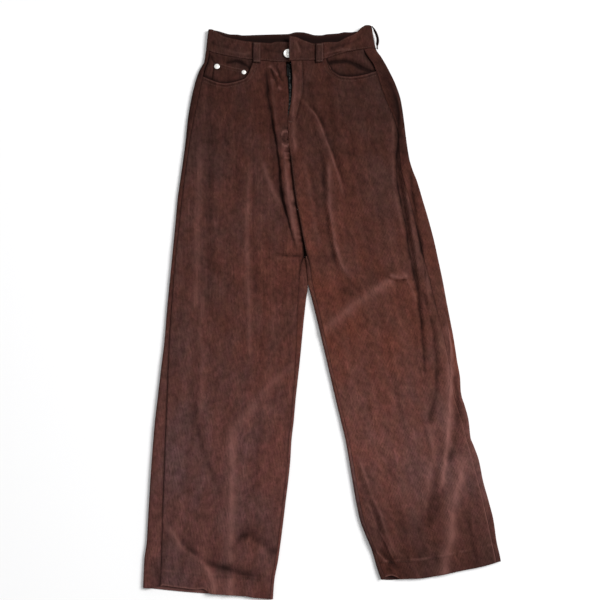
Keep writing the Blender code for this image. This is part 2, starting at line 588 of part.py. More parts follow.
def back(side, finish):
    """A back panel: flat on the floor, and wrapped over both edges of the leg on to the front."""
    inward = INWARD[side]
    rows = rows_of(side)
    roll_start = WRAP_COLUMNS
    floor_start = roll_start + ROLL_STEPS
    floor_end = floor_start + FLOOR_COLUMNS
    inner_top = floor_end + ROLL_STEPS
    columns = inner_top + 1

    def wrap_point(column, down):
        y = level(side, 0.0, down, "front")
        for _ in range(5):
            edge = OUTER_EDGE[side](y)
            seam = OUTSEAM[side](y) - inward * SEAM_GAP / 2
            wrap = abs(seam - edge) - OUTER_ROLL_TOP
            insets = (0.0, min(SEAM_STRIP, wrap / 2), wrap)
            x = seam - inward * insets[column]
            y = level(side, (x - edge) / (inner_x(side, y, "front") - edge), down, "front")
        return x, y, top_height(side, x, y)

    def outer_point(column, down):
        if column <= roll_start:
            return wrap_point(column, down)
        step = column - roll_start
        _, top_y, high = wrap_point(roll_start, down)
        inset, z = roll(step, OUTER_ROLL_TOP, OUTER_ROLL_FLOOR, max(high, EDGE_LOFT))
        y = mix(top_y, level(side, 0.0, down, "back"), step / ROLL_STEPS)
        return OUTER_EDGE[side](y) + inward * inset, y, z

    def inner_point(column, down, row):
        y = level(side, 1.0, down, "front")
        edge = inner_x(side, y, "front")
        seam = INSEAM[side](y) + inward * SEAM_GAP / 2
        if column > inner_top:
            return seam, y, top_height(side, seam, y)
        if row < FORK_ROW:
            return edge, y, top_height(side, edge, y)
        high = max(top_height(side, edge - inward * INNER_ROLL_TOP, y), EDGE_LOFT)
        inset, z = roll(inner_top - column, INNER_ROLL_TOP, INNER_ROLL_FLOOR, high)
        return edge - inward * inset, y, z

    def floor_point(column, down, row):
        share = (column - floor_start) / FLOOR_COLUMNS
        y = level(side, share, down, "back")
        first = OUTER_EDGE[side](y) + inward * OUTER_ROLL_FLOOR
        last = inner_x(side, y, "back")
        if row >= FORK_ROW:
            last -= inward * INNER_ROLL_FLOOR
        return mix(first, last, share), y, 0.0

    def place(column, row):
        down = rows[row]
        if column < floor_start:
            return outer_point(column, down)
        if column <= floor_end:
            return floor_point(column, down, row)
        return inner_point(column, down, row)

    def keep(column, row):
        if column < floor_end:
            return True
        if column < inner_top:
            return row >= FORK_ROW
        return row >= JUNCTION_ROW

    name = f"back_{side}"
    return cloth_piece(name, columns, LAST_ROW, place, CLOTH, side == "right", finish, keep)


def band_height(side, x, y, up):
    """The waistband's outer face at a share of the way up from its seam."""
    height = top_height(side, x, y) + BAND_PROUD + BAND_LEAN * up
    if side == "right":
        height -= UNDERLAP_DIP * ease((x - UNDERLAP_DIP_FROM) / UNDERLAP_DIP_OVER)
    return height


def band_front_point(side, x, up):
    seam = FRONT_SEAM_Y(x) + SEAM_GAP / 2
    y = mix(seam, FRONT_TOP_Y[side](x), up)
    return x, y, band_height(side, x, y, up)


def band_corner_x(side, up):
    return OUTER_EDGE[side](mix(*BAND_SIDE, up))


def band_corner_point(side, step, up):
    """A point round the side of the waistband: step 0 is on the front and the last one on the floor."""
    inward = INWARD[side]
    edge = band_corner_x(side, up)
    front_point = band_front_point(side, edge + inward * OUTER_ROLL_TOP, up)
    back_y = mix(BACK_SEAM_Y(edge) + SEAM_GAP / 2, BACK_TOP_Y(edge), up)
    inset, z = roll(step, OUTER_ROLL_TOP, OUTER_ROLL_TOP, front_point[2])
    return edge + inward * inset, mix(front_point[1], back_y, step / ROLL_STEPS), z


def waistband(finish):
    """One strip from the end that carries the button, round the back, to the tab that lies over it."""
    first_corner = BAND_RUN
    back_start = first_corner + ROLL_STEPS
    back_end = back_start + BAND_BACK_RUN
    last_run = back_end + ROLL_STEPS
    columns = last_run + BAND_RUN

    def place(column, row):
        up = 1 - row / BAND_ROWS
        if column < first_corner:
            start = band_corner_x("right", up) + OUTER_ROLL_TOP
            return band_front_point("right", mix(UNDERLAP_X, start, column / BAND_RUN), up)
        if column < back_start:
            return band_corner_point("right", column - first_corner, up)
        if column <= back_end:
            start = band_corner_x("right", up) + OUTER_ROLL_TOP
            end = band_corner_x("left", up) - OUTER_ROLL_TOP
            x = mix(start, end, (column - back_start) / BAND_BACK_RUN)
            return x, mix(BACK_SEAM_Y(x) + SEAM_GAP / 2, BACK_TOP_Y(x), up), 0.0
        if column < last_run:
            return band_corner_point("left", last_run - column, up)
        start = band_corner_x("left", up) - OUTER_ROLL_TOP
        return band_front_point("left", mix(start, TAB_X, (column - last_run) / BAND_RUN), up)

    return cloth_piece("waistband", columns, BAND_ROWS, place, BAND_CLOTH, True, finish)


LOOPS = (Loop("loop_front_right", "right", -0.1200), Loop("loop_front_left", "left", -0.0025))
LOOP_WIDE = 0.0140
LOOP_BELOW_TOP = 0.0010
LOOP_BELOW_SEAM = 0.0055
LOOP_HUMP = 0.0008       # slack for a belt


def front_loop(loop, finish):
    """A belt loop lying down the front of the waistband, with both ends sewn."""
    columns, rows = 2, 6

    def place(column, row):
        x = loop.x + (column / columns - 0.5) * LOOP_WIDE
        seam = FRONT_SEAM_Y(x)
        top = FRONT_TOP_Y[loop.side](x)
        share = row / rows
        y = mix(top - LOOP_BELOW_TOP, seam - LOOP_BELOW_SEAM, share)
        up = max((y - seam) / (top - seam), 0.0)
        hump = LOOP_HUMP * math.sin(math.pi * share)
        return x, y, band_height(loop.side, x, y, up) + SEAM_GAP + STRAP_CLOTH + hump

    return cloth_piece(loop.name, columns, rows, place, STRAP_CLOTH, False, finish)


SIDE_LOOP = (
    Point(0.0972, 0.5178), Point(0.1005, 0.5130), Point(0.1036, 0.5070), Point(0.1059, 0.5010),
    Point(0.1075, 0.4950), Point(0.1083, 0.4890), Point(0.1081, 0.4830), Point(0.1073, 0.4780),
    Point(0.1064, 0.4745),
)
SIDE_LOOP_HIGH = 0.0105


def side_loop(finish):
    """The belt loop at the left side, which stands on its edge and bows away from the band."""
    steps = len(SIDE_LOOP) - 1
    outer = smooth_line(SIDE_LOOP, "y", "x")

    def place(column, row):
        y = mix(SIDE_LOOP[0].y, SIDE_LOOP[-1].y, column / steps)
        return outer(y), y, mix(SIDE_LOOP_HIGH, SEAM_GAP, row / 2)

    return cloth_piece("loop_side_left", steps, 2, place, STRAP_CLOTH, False, finish)


def bearer(side, finish):
    """The cloth seen inside a pocket opening, sewn to the waist seam and to the outseam."""
    columns, rows = 7, 5

    def place(column, row):
        share, below = column / columns, row / rows
        y = WAIST_Y
        for _ in range(6):
            x = mix(OUTSEAM[side](y) + INWARD[side] * BEARER_INSET, BEARER_INNER[side], share)
            y = mix(FRONT_SEAM_Y(x) - SEAM_GAP, BEARER_FLOOR[side], below)
        return x, y, plain_height(y) - BEARER_DEPTH[side]

    return cloth_piece(f"pocket_bearer_{side}", columns, rows, place, LINING_CLOTH, side == "left", finish)


def coin_pocket(finish):
    """The small pocket on the right bearer, with its lower edge hidden inside the main pocket."""
    columns, rows = 6, 4

    def place(column, row):
        share, below = column / columns, row / rows
        top_x = mix(COIN_TOP[0].x, COIN_TOP[-1].x, share)
        floor_x = mix(COIN_LOWER_X, COIN_TOP[-1].x, share)
        y = mix(COIN_TOP_Y(top_x), COIN_FLOOR, below)
        z = plain_height(y) - BEARER_DEPTH["right"] + SEAM_GAP + LINING_CLOTH
        return mix(top_x, floor_x, below), y, z

    return cloth_piece("coin_pocket", columns, rows, place, LINING_CLOTH, False, finish)


def zip_tape(finish):
    """The black tape behind the fly."""
    columns, rows = 2, 6

    def place(column, row):
        y = mix(*TAPE_ENDS, row / rows)
        centre = (INNER_EDGE["right"](y) + INNER_EDGE["left"](y)) / 2
        x = centre + (column / columns - 0.5) * TAPE_WIDE
        return x, y, tape_height(y)

    return cloth_piece("zip_tape", columns, rows, place, TAPE_CLOTH, False, finish)


def tape_height(y):
    return plain_height(y) - CLOTH - SEAM_GAP


def box(bm, low, high):
    """A box between two corners, added to a mesh."""
    made = bmesh.ops.create_cube(bm, size=1.0)["verts"]
    for vert in made:
        vert.co = Vector(mix(a, b, c + 0.5) for a, b, c in zip(low, high, vert.co))


def boolean(target, other, operation, cutters):
    """Joins or cuts the target with a helper that stays out of the model."""
    cutters.objects.link(other)
    other.hide_render = True
    other.display_type = "WIRE"
    made = target.modifiers.new(operation.title(), "BOOLEAN")
    made.operation = operation
    made.object = other


def box_object(name, low, high, parent):
    bm = bmesh.new()
    box(bm, low, high)
    mesh = bpy.data.meshes.new(name)
    bm.to_mesh(mesh)
    bm.free()
    made = bpy.data.objects.new(name, mesh)
    made.parent = parent
    return made


SLIDER_SIZE = (0.0062, 0.0090, 0.0020)
SLIDER_CORNER = 0.0014
PULL_WIDE = 0.0048
PULL_THICK = 0.0009
PULL_LONG = 0.0215
PULL_CORNER = 0.0020
PULL_BAR = 0.0009            # bar at the top of the pull, inside the crown
PULL_SLOT = (0.0028, 0.0034)
AXIS_ABOVE_BODY = 0.0010
CROWN_WIDE = 0.0015
CROWN_WALL = 0.0007
CROWN_REACH = 0.0021         # from the axis to each foot of the crown
TUNNEL_FLOOR = 0.0001        # how far the tunnel's floor clears the slider's body


def slider_base():
    """Height of the slider's underside, just clear of the tape."""
    return tape_height(SLIDER_AT[1]) + SEAM_GAP


def axis_height():
    return slider_base() + SLIDER_SIZE[2] + AXIS_ABOVE_BODY


def upright_edges(bm, high):
    return [edge for edge in bm.edges if abs(edge.verts[0].co.z - edge.verts[1].co.z) > high / 2]


def zip_slider(finish, cutters):
    """The slider's body, with a crown bridging the bar of the pull."""
    x, y = SLIDER_AT
    wide, long, high = SLIDER_SIZE
    base = slider_base()
    bm = bmesh.new()
    box(bm, (x - wide / 2, y - long / 2, base), (x + wide / 2, y + long / 2, base + high))
    bmesh.ops.bevel(bm, geom=upright_edges(bm, high), offset=SLIDER_CORNER, segments=3, affect="EDGES")
    mesh = bpy.data.meshes.new("zip_slider")
    bm.to_mesh(mesh)
    bm.free()
    made = new_object("zip_slider", mesh, *finish)
    reach = CROWN_REACH
    top = axis_height() + AXIS_ABOVE_BODY + CROWN_WALL
    foot = (x - CROWN_WIDE / 2, y - reach, base + high / 2)
    crown = box_object("crown", foot, (x + CROWN_WIDE / 2, y + reach, top), made.parent)
    floor = (x - wide, y - reach + CROWN_WALL, base + high + TUNNEL_FLOOR)
    tunnel = box_object("tunnel", floor, (x + wide, y + reach - CROWN_WALL, top - CROWN_WALL), made.parent)
    boolean(made, crown, "UNION", cutters)
    boolean(made, tunnel, "DIFFERENCE", cutters)
    return made


def zip_pull(finish, cutters):
    """The pull tab, lying down the fly. Its origin is on the bar that it turns on."""
    bm = bmesh.new()
    half = PULL_WIDE / 2
    box(bm, (-half, -PULL_LONG, -PULL_THICK / 2), (half, PULL_BAR / 2, PULL_THICK / 2))
    tip = [edge for edge in upright_edges(bm, PULL_THICK) if edge.verts[0].co.y < -PULL_LONG / 2]
    bmesh.ops.bevel(bm, geom=tip, offset=PULL_CORNER, segments=4, affect="EDGES")
    mesh = bpy.data.meshes.new("zip_pull")
    bm.to_mesh(mesh)
    bm.free()
    made = new_object("zip_pull", mesh, *finish)
    made.location = (SLIDER_AT[0], SLIDER_AT[1], axis_height())
    wide, long = PULL_SLOT
    foot = (-wide / 2, -PULL_BAR / 2 - long, -PULL_THICK)
    slot = box_object("pull_slot", foot, (wide / 2, -PULL_BAR / 2, PULL_THICK), made)
    boolean(made, slot, "DIFFERENCE", cutters)
    return made


def turned(name, rings, radius, centre, steps, finish):
    """A round piece: a section turned about its axis."""
    mesh = bpy.data.meshes.new(name)
    points = [(ring.share * radius, 0.0, ring.z) for ring in rings]
    mesh.from_pydata(points, [(i, i + 1) for i in range(len(points) - 1)], [])
    made = new_object(name, mesh, *finish)
    made.location = centre
    turn = made.modifiers.new("Turn", "SCREW")
    turn.axis = "Z"
    turn.steps = turn.render_steps = steps
    turn.use_merge_vertices = True
    turn.merge_threshold = 0.00001
    return made


def button(finish):
    """A jeans button: a dished cap with a raised rim, on a short collar."""
    x, y = BUTTON_AT
    near = BUTTON_COLLAR * BUTTON_RADIUS
    base = max(band_height("right", x + dx, y + dy, 0.5) for dx in (-near, near) for dy in (-near, near))
    return turned("button", BUTTON_RINGS, BUTTON_RADIUS, (x, y, base + 2 * SEAM_GAP), 28, finish)


def rivet(which, finish):
    """A domed rivet through a corner of the coin pocket."""
    base = plain_height(which.y) - BEARER_DEPTH["right"] + SEAM_GAP + LINING_CLOTH
    return turned(which.name, RIVET_RINGS, which.radius, (which.x, which.y, base + SEAM_GAP), 16, finish)


def build():
    for leftover in list(bpy.data.objects):
        bpy.data.objects.remove(leftover, do_unlink=True)
    garment = bpy.data.collections.new("corduroy_trousers")
    cutters = bpy.data.collections.new("cutters")
    bpy.context.scene.collection.children.link(garment)
    bpy.context.scene.collection.children.link(cutters)
    cutters.hide_render = True
    trousers = bpy.data.objects.new("trousers", None)
    garment.objects.link(trousers)

    corduroy = new_material("corduroy", (0.082, 0.030, 0.022), 0.85)
    bearer_cloth = new_material("pocket cloth", (0.050, 0.018, 0.014), 0.90)
    tape = new_material("zip tape", (0.006, 0.006, 0.006), 0.80)
    black_metal = new_material("black zip metal", (0.010, 0.010, 0.010), 0.35, 0.8)
    silver = new_material("silver metal", (0.78, 0.76, 0.72), 0.28, 1.0)

    def finish(material):
        return material, garment, trousers

    for side in SIDES:
        front(side, finish(corduroy))
        back(side, finish(corduroy))
        bearer(side, finish(bearer_cloth))
    waistband(finish(corduroy))
    for loop in LOOPS:
        front_loop(loop, finish(corduroy))
    side_loop(finish(corduroy))
    coin_pocket(finish(bearer_cloth))
    zip_tape(finish(tape))
    zip_slider(finish(black_metal), cutters)
    zip_pull(finish(black_metal), cutters)
    button(finish(silver))
    for which in RIVETS:
        rivet(which, finish(silver))


build()
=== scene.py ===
"""Corduroy trousers laid flat on their back: cloth, creases, sewing, zip, button and rivets, with their finishes.

Metres, +Z up, +Y towards the waist. The wearer's right leg lies at -X.
"""

import math
from collections import namedtuple

import bpy
import numpy as np
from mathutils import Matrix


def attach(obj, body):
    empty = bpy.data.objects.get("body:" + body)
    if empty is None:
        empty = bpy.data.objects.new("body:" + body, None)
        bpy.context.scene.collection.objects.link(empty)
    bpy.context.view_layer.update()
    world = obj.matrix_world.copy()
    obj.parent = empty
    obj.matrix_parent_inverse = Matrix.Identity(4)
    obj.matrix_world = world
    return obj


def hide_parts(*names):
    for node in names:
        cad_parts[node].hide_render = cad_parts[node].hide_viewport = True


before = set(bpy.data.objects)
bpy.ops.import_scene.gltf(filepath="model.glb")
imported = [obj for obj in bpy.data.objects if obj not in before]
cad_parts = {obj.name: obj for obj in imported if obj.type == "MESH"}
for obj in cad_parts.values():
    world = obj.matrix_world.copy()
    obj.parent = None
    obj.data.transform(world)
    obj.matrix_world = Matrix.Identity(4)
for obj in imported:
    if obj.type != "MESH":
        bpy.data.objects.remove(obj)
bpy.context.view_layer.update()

# Cloth and layers
CLOTH = 0.0015            # wall of a trouser panel
BAND_CLOTH = 0.0026       # waistband, cloth doubled on itself
LINING_CLOTH = 0.0010     # pocket bearers and coin pocket
STRAP_CLOTH = 0.0018      # belt loops
SEAM_GAP = 0.0003         # between pieces sewn edge to edge, and between stacked layers
LOFT = 0.0064             # floor to the outer face of the top layer
WAIST_RISE = 0.0006       # how much more the top layer stands up at the waist
WAIST_RISE_FROM = 0.360   # where that rise starts, and how long it takes
WAIST_RISE_OVER = 0.080
LEAST_LOFT = 0.0040       # deepest that a crease presses the top layer
EDGE_LOFT = 0.0052        # least height of a rolled edge
FOLD_FADE = 0.25          # share of a large crease's route over which each end dies away
CREASE_FADE = 0.12        # and of a smaller one's
CREASE_WANDER = 0.0005    # how far a smaller crease strays from its route
CREASE_UNEVEN = 0.22      # and how much its height comes and goes along it
WANDER_WAVES = (0.0090, 0.0037)   # metres to the radian of the waves by which it strays
UNEVEN_WAVES = (0.0125, 0.0052)   # and of those by which it comes and goes
WAVE_START = 900          # gives each crease's waves their own start, by its first point
CREASE_FAR = 4            # widths to the side beyond which a crease adds nothing
SHADED_FROM = 0.3         # least crispness of a crease whose trough gets painted shade and whose crest painted highlight
LEG_SHADE = 760           # painted shade for each metre of a crease's height, on the legs, the band and in the pockets; on the legs and the band a crest gets painted highlight as well
BAND_SHADE = 900
POCKET_SHADE = 1250
GATHERS_TOP = 0.300       # where the crotch seam's gathers start and end, and over what length they fade
GATHERS_FOOT = 0.085
GATHERS_FADE = 0.030
GATHERS_HIGH = 0.0006
PUCKER_RATE = 760         # radians to the metre of the ripples beside stitches, and of their drift
PUCKER_DRIFT = 173
BROKEN_WAVES = (0.0046, 0.0173)   # metres to the radian of the waves that break up the shade along the hem's stitches

# Rolled edges: how far in from the outline the roll reaches
OUTER_ROLL_TOP = 0.0050
OUTER_ROLL_FLOOR = 0.0030
INNER_ROLL_TOP = 0.0034
INNER_ROLL_FLOOR = 0.0028
INNER_ROLL_OVER = 0.0200  # length below the fork over which the inner roll forms

# Waistband
BAND_DEEP = 0.037         # from its seam to its top edge
BAND_PROUD = 0.0006       # how far its face stands above the panels
BAND_LEAN = 0.0014        # how much more its top edge stands up than its seam
UNDERLAP_X = -0.0420      # end that carries the button
UNDERLAP_DIP = 0.0008     # how much lower that end lies, from here on and over this length
UNDERLAP_DIP_FROM = -0.095
UNDERLAP_DIP_OVER = 0.020
UNDERLAP_DARK_FROM = -0.109   # where it starts to lie in shade
TAB_X = -0.0595           # end that lies over the button
BAND_SIDE = (0.475, 0.517)  # foot and top of the waistband at its two sides
BAND_MIDDLE_Y = 0.495     # about half-way up, where its rows of stitches find its two sides

# Hardware
SLIDER_FOOT = 0.4345
TEETH_FOOT = 0.3360
TOOTH_PITCH = 0.0019
TOOTH = (0.0030, 0.0010, 0.0011)   # across, along and up
TOOTH_ASIDE = 0.0007      # how far each tooth stands from the middle line
TOOTH_SUNK = 0.0002       # its middle below the tape's face, which it grips
TAPE_CLOTH = 0.0008
TAPE_WIDE = 0.0260
TAPE_ENDS = (0.4440, 0.3300)

Crossing = namedtuple("Crossing", "y edge seam")
Point = namedtuple("Point", "x y")
Draw = namedtuple("Draw", "across up")
Hem = namedtuple("Hem", "across y")
Fold = namedtuple("Fold", "name high left right path")
Crease = namedtuple("Crease", "name high left right crisp path")
Rise = namedtuple("Rise", "name high x y reach_x reach_y")
Rivet = namedtuple("Rivet", "name node x y radius")
Loop = namedtuple("Loop", "name node side x")
Grain = namedtuple("Grain", "y x")
Ripple = namedtuple("Ripple", "high across wander rate phase")
Stitch = namedtuple("Stitch", "long apart thick")
Shade = namedtuple("Shade", "y dark")
Ring = namedtuple("Ring", "share z")
Cut = namedtuple("Cut", "wide long area lies_on")


def crease(name, high, left, right, crisp, *route):
    """A crease whose height, reach to each side and route, as x and y, are written in millimetres."""
    return Crease(name, high / 1000, left / 1000, right / 1000, crisp, way(*route))


def fold(name, high, left, right, *route):
    """A larger fold, written in the same way."""
    return Fold(name, high / 1000, left / 1000, right / 1000, way(*route))


def way(*route):
    return in_mm(Point, *route)


def in_mm(kind, *measures):
    """A table's rows, written in millimetres."""
    return tuple(kind(*(measure / 1000 for measure in row)) for row in measures)


# Heights along the centre line: where the panels' rows run straight, where the inseams begin, and the fork
LEVEL_Y = 0.300
JUNCTION_Y = 0.076
FORK_Y = 0.027
WAIST_Y = 0.4725

# The leg's outer outline, and the outseam that has rolled on to the front
OUTER = {
    "right": in_mm(Crossing, (520, -211.5, -205), (490, -214.5, -207.8), (474, -215.8, -209), (454, -218, -211),
        (448, -219.2, -212.2), (442, -222.5, -215), (430, -228.2, -218.2), (412, -234, -221.2),
        (373, -242.2, -229), (334, -247.5, -236), (296, -250.5, -242), (257, -254.5, -246.5),
        (219, -259, -250.8), (181, -263.2, -254.8), (143, -265.7, -258.2), (106, -268.3, -261.2),
        (69, -271, -264.2), (32, -273.8, -266.5), (-5, -276.5, -268.5), (-41, -278.8, -270.2),
        (-77, -280.8, -271.5), (-113, -284.3, -272.4), (-148, -287.6, -273), (-184, -290.9, -273.6),
        (-219, -294.1, -274.3), (-254, -296.4, -274.9), (-288, -298.1, -275.4), (-323, -299.8, -275.9),
        (-357, -300.9, -276.3), (-391, -302.1, -276.6), (-424, -302.9, -276.9), (-458, -306.6, -277.2),
        (-491, -307.2, -277.5), (-530, -307.8, -277.8)),
    "left": in_mm(Crossing, (520, 96, 78), (484, 101.8, 79.7), (472, 105.2, 81.2), (461, 112.5, 87.2),
        (443, 122.5, 98.5), (430, 128.8, 103.5), (404, 140, 111), (373, 149, 121), (334, 154, 136),
        (305, 156.8, 142.5), (260, 162.5, 144.7), (238, 168.5, 146.5), (219, 175.5, 150.5), (181, 185.8, 161.5),
        (149, 194.3, 169), (106, 204.4, 177.5), (70, 211.3, 185.5), (32, 218.3, 194.5), (-5, 224, 202.5),
        (-41, 229.9, 210.8), (-77, 235.6, 218.8), (-113, 240.2, 224.2), (-148, 245, 228.8),
        (-163, 245.2, 230.8), (-177, 246.9, 233.5), (-191, 251.2, 237), (-219, 257.7, 245.5),
        (-249, 260.3, 252.2), (-261, 264.7, 256), (-288, 273.6, 262.5), (-323, 279.7, 270.2),
        (-357, 288.2, 278.5), (-391, 295.8, 284.7), (-424, 299.5, 291), (-458, 305.8, 297), (-480, 307.5, 299)),
}

# The centre front down to the crotch and the leg's inner outline below it, with the inseam on the front
INNER = {
    "right": in_mm(Crossing, (460, -67, -67), (427, -63.2, -63.2), (399, -61.2, -61.2), (374, -59.8, -59.8),
        (346, -61.6, -61.6), (335, -61.8, -61.8), (307, -61.2, -61.2), (267, -57, -57), (221, -52, -52),
        (182, -47, -47), (133, -38, -38), (76, -29, -32), (60, -27, -37.5), (27, -24.5, -40.5),
        (-5, -28.1, -43), (-41, -32.1, -44.2), (-77, -35.5, -45.5), (-113, -39, -47.2), (-148, -42.8, -49.2),
        (-184, -46.7, -52.2), (-219, -49.7, -55), (-254, -53.7, -59), (-288, -55.7, -61), (-323, -59.2, -64.5),
        (-357, -63.5, -68.8), (-391, -67.5, -72.8), (-424, -71.7, -77), (-458, -76.5, -81.8),
        (-491, -82.7, -88), (-530, -85.5, -90.8)),
    "left": in_mm(Crossing, (460, -56.5, -56.5), (416, -53.5, -53.5), (391, -54, -54), (373, -55.3, -55.3),
        (356, -58.2, -58.2), (335, -61.8, -61.8), (307, -61.2, -61.2), (267, -57, -57), (221, -52, -52),
        (182, -47, -47), (133, -38, -38), (76, -29, -26.5), (60, -27, -22), (27, -24.5, -16.5),
        (-5, -17.1, -9.5), (-41, -8.4, -1.2), (-77, -0.1, 6.7), (-113, 8.2, 14.7), (-148, 16.1, 22.6),
        (-184, 24.4, 30.9), (-219, 32.7, 39.2), (-254, 40.8, 47.3), (-288, 46.5, 53), (-323, 52.1, 58.6),
        (-357, 57.7, 64.2), (-391, 65, 71.5), (-408, 70.9, 77.4), (-424, 77.7, 84.2), (-441, 84.6, 91.1),
        (-474, 94, 100.5), (-500, 104, 110.5)),
}

# Centre back seam, flat on the floor
CENTRE_BACK = way((-57, 520), (-55, 300), (-42, 150), (-24.5, 27))

# Middle line of each leg, which the ribs of the cloth follow
GRAIN = {
    "right": in_mm(Grain, (520, -142), (300, -155), (0, -153), (-250, -174), (-530, -198)),
    "left": in_mm(Grain, (520, 20), (300, 47), (0, 104), (-250, 150), (-500, 204)),
}

# Waist seam and top edge of the waistband, on the front and on the back
FRONT_SEAM = way((-225, 473.5), (-214, 471), (-198, 465.8), (-170, 459), (-142, 454), (-114, 451.5),
    (-78, 448.5), (-61, 448.2), (-45, 449.3), (-30, 450.3), (-10, 451.2), (0, 452.5), (10, 455), (22, 459.2),
    (36, 464), (51, 468.5), (68, 472), (85, 474.5), (97, 475.5), (110, 475.5))
BACK_SEAM = way((-225, 472), (110, 475))
FRONT_TOP = {
    "right": way((-212, 513), (-205, 512.5), (-196, 507), (-180, 498), (-161, 493), (-142, 489), (-110, 486),
        (-95, 485), (-81, 488), (-42, 486)),
    "left": way((-59.5, 498), (-47, 496), (-33, 490), (-11, 484), (14, 487), (29, 487), (45, 495), (64, 504),
        (78, 517), (86, 521), (91, 521), (96, 518)),
}
BACK_TOP = way((-212, 514.5), (-204, 514), (-192, 511.5), (-181, 508), (-170, 505.2), (-158, 505),
    (-147, 503.3), (-125, 504), (-96, 505), (-62, 506), (-45.5, 509.8), (-34, 509.5), (-23, 507), (-11, 503.8),
    (0, 503.5), (11, 505.5), (34, 507.5), (45, 509.8), (56, 509.5), (68, 511), (96, 517))

# Hem of each leg from its outer corner to its inner one, and how far the front layer is drawn up from it
HEM = {
    "right": (
        Hem(0.00, -0.5032), Hem(0.30, -0.5097), Hem(0.54, -0.5136), Hem(0.79, -0.5172),
        Hem(0.86, -0.5197), Hem(1.00, -0.5220),
    ),
    "left": (
        Hem(0.00, -0.4585), Hem(0.13, -0.4668), Hem(0.34, -0.4755), Hem(0.54, -0.4838),
        Hem(0.68, -0.4877), Hem(0.81, -0.4887), Hem(0.95, -0.4903), Hem(1.00, -0.4895),
    ),
}
HEM_DRAWN_UP = {
    "right": (
        Draw(0.00, 0.0062), Draw(0.03, 0.0078), Draw(0.10, 0.0072), Draw(0.20, 0.0066), Draw(0.32, 0.0058),
        Draw(0.385, 0.0078), Draw(0.425, 0.0045), Draw(0.455, 0.0004), Draw(0.52, 0.0), Draw(1.00, 0.0),
    ),
    "left": (
        Draw(0.00, 0.0), Draw(0.80, 0.0), Draw(0.855, 0.0002), Draw(0.90, 0.0048), Draw(0.945, 0.0076),
        Draw(0.975, 0.0068), Draw(1.00, 0.0048),
    ),
}
HEM_DRAW_FROM = 0.965     # share down below which the front's hem is drawn up
HEM_DRAW_WRAP = 0.8       # share of the wrapped edge beside it that is drawn up too
HEM_DEEP = 0.029          # turned-up hem, from the edge to its line of stitches
HEM_FULLER = 0.0003       # how much higher the doubled hem stands than the leg,
HEM_DRAWN_IN = 0.0005     # and how far its line of stitches is drawn in

# Scooped pocket openings, from the outseam to the waist seam
SCOOP = {
    "right": way((-222, 420), (-217, 417.8), (-206, 412.8), (-191, 407.2), (-178, 405.5), (-166, 407.2),
        (-152, 411), (-144.5, 413.8), (-138, 419.5), (-134, 427), (-130, 437), (-126.5, 453.5)),
    "left": way((116, 434.5), (102, 429.3), (84, 422.8), (68, 419.5), (52.5, 418), (37, 419.5), (28, 424.5),
        (17, 435), (10.5, 454.5)),
}
POCKET_GAPE = {"right": 0.0008, "left": 0.0018}
GAPE_REACH = 0.012       # how far from the opening the front still stands up
GAPE_FROM_SEAM = 0.012   # and how far from the outseam it takes to stand up
RIM_HIGH = 0.0004        # height of the opening's turned rim, and depth of the dip that its stitches make
BEARER_DEPTH = {"right": 0.0031, "left": 0.0021}   # how far it lies under the front's face
BEARER_INNER = {"right": -0.1180, "left": 0.0020}
BEARER_FLOOR = {"right": 0.3860, "left": 0.3980}
BEARER_INSET = 0.0006    # in from the outseam

# Coin pocket, sewn on the right bearer: its top edge, its slanted outer side and its hidden lower edge
COIN_TOP = way((-199, 445), (-189, 445.8), (-173.5, 441.5), (-159.5, 438), (-149, 436.2), (-137, 433.5))
COIN_LOWER_X = -0.2055
COIN_FLOOR = 0.3930
RIVETS = (
    Rivet("coin_rivet_outer", "rivet_outer", -0.1945, 0.4398, 0.0051),
    Rivet("coin_rivet_inner", "rivet_inner", -0.1440, 0.4283, 0.0042),
)
RIVET_FOOT = 0.0055
BUTTON_AT = (-0.0615, 0.4640, 0.0081)
BUTTON_RADIUS = 0.0085
# Sections of the button and of a rivet, from the foot up and over to the middle: share of the radius, and height
BUTTON_RINGS = (
    Ring(0.55, 0.0), Ring(0.55, 0.0010), Ring(0.90, 0.0010), Ring(0.97, 0.0011), Ring(1.0, 0.0014),
    Ring(1.0, 0.0017), Ring(0.975, 0.0020), Ring(0.93, 0.0023), Ring(0.87, 0.0024), Ring(0.81, 0.00236),
    Ring(0.75, 0.00215), Ring(0.70, 0.0018), Ring(0.64, 0.0016), Ring(0.45, 0.0016), Ring(0.39, 0.0017),
    Ring(0.34, 0.0019), Ring(0.28, 0.0020), Ring(0.14, 0.00204), Ring(0.05, 0.00205),
)
RIVET_RINGS = (
    Ring(0.98, 0.0), Ring(1.0, 0.0001), Ring(1.0, 0.0003), Ring(0.97, 0.0005), Ring(0.92, 0.0007),
    Ring(0.84, 0.0009), Ring(0.72, 0.00105), Ring(0.60, 0.0011), Ring(0.50, 0.00108), Ring(0.43, 0.0011),
    Ring(0.37, 0.0012), Ring(0.31, 0.00133), Ring(0.24, 0.0014), Ring(0.10, 0.00142), Ring(0.04, 0.00142),
)

LOOPS = (
    Loop("belt_loop_front_right", "loop_front_right", "right", -0.1200),
    Loop("belt_loop_front_left", "loop_front_left", "left", -0.0025),
)
LOOP_WIDE = 0.0140
LOOP_BELOW_TOP = 0.0010
LOOP_BELOW_SEAM = 0.0055
LOOP_HUMP = 0.0008       # slack for a belt
SIDE_LOOP = way((97.2, 517.8), (100.5, 513), (103.6, 507), (105.9, 501), (107.6, 495), (108.2, 489),
    (107.4, 484), (106.2, 479.5), (105.8, 474.2))
SIDE_LOOP_FOOT = 0.0040
SIDE_LOOP_HIGH = 0.0100
SIDE_LOOP_LEAN = 0.0022   # how far its lower edge lies nearer to the band,
SIDE_LOOP_SPREAD = 0.0050 # and how much more towards its foot
SIDE_LOOP_TUCK = 0.0020   # how far its upper edge leans over the band's rolled edge at its ends

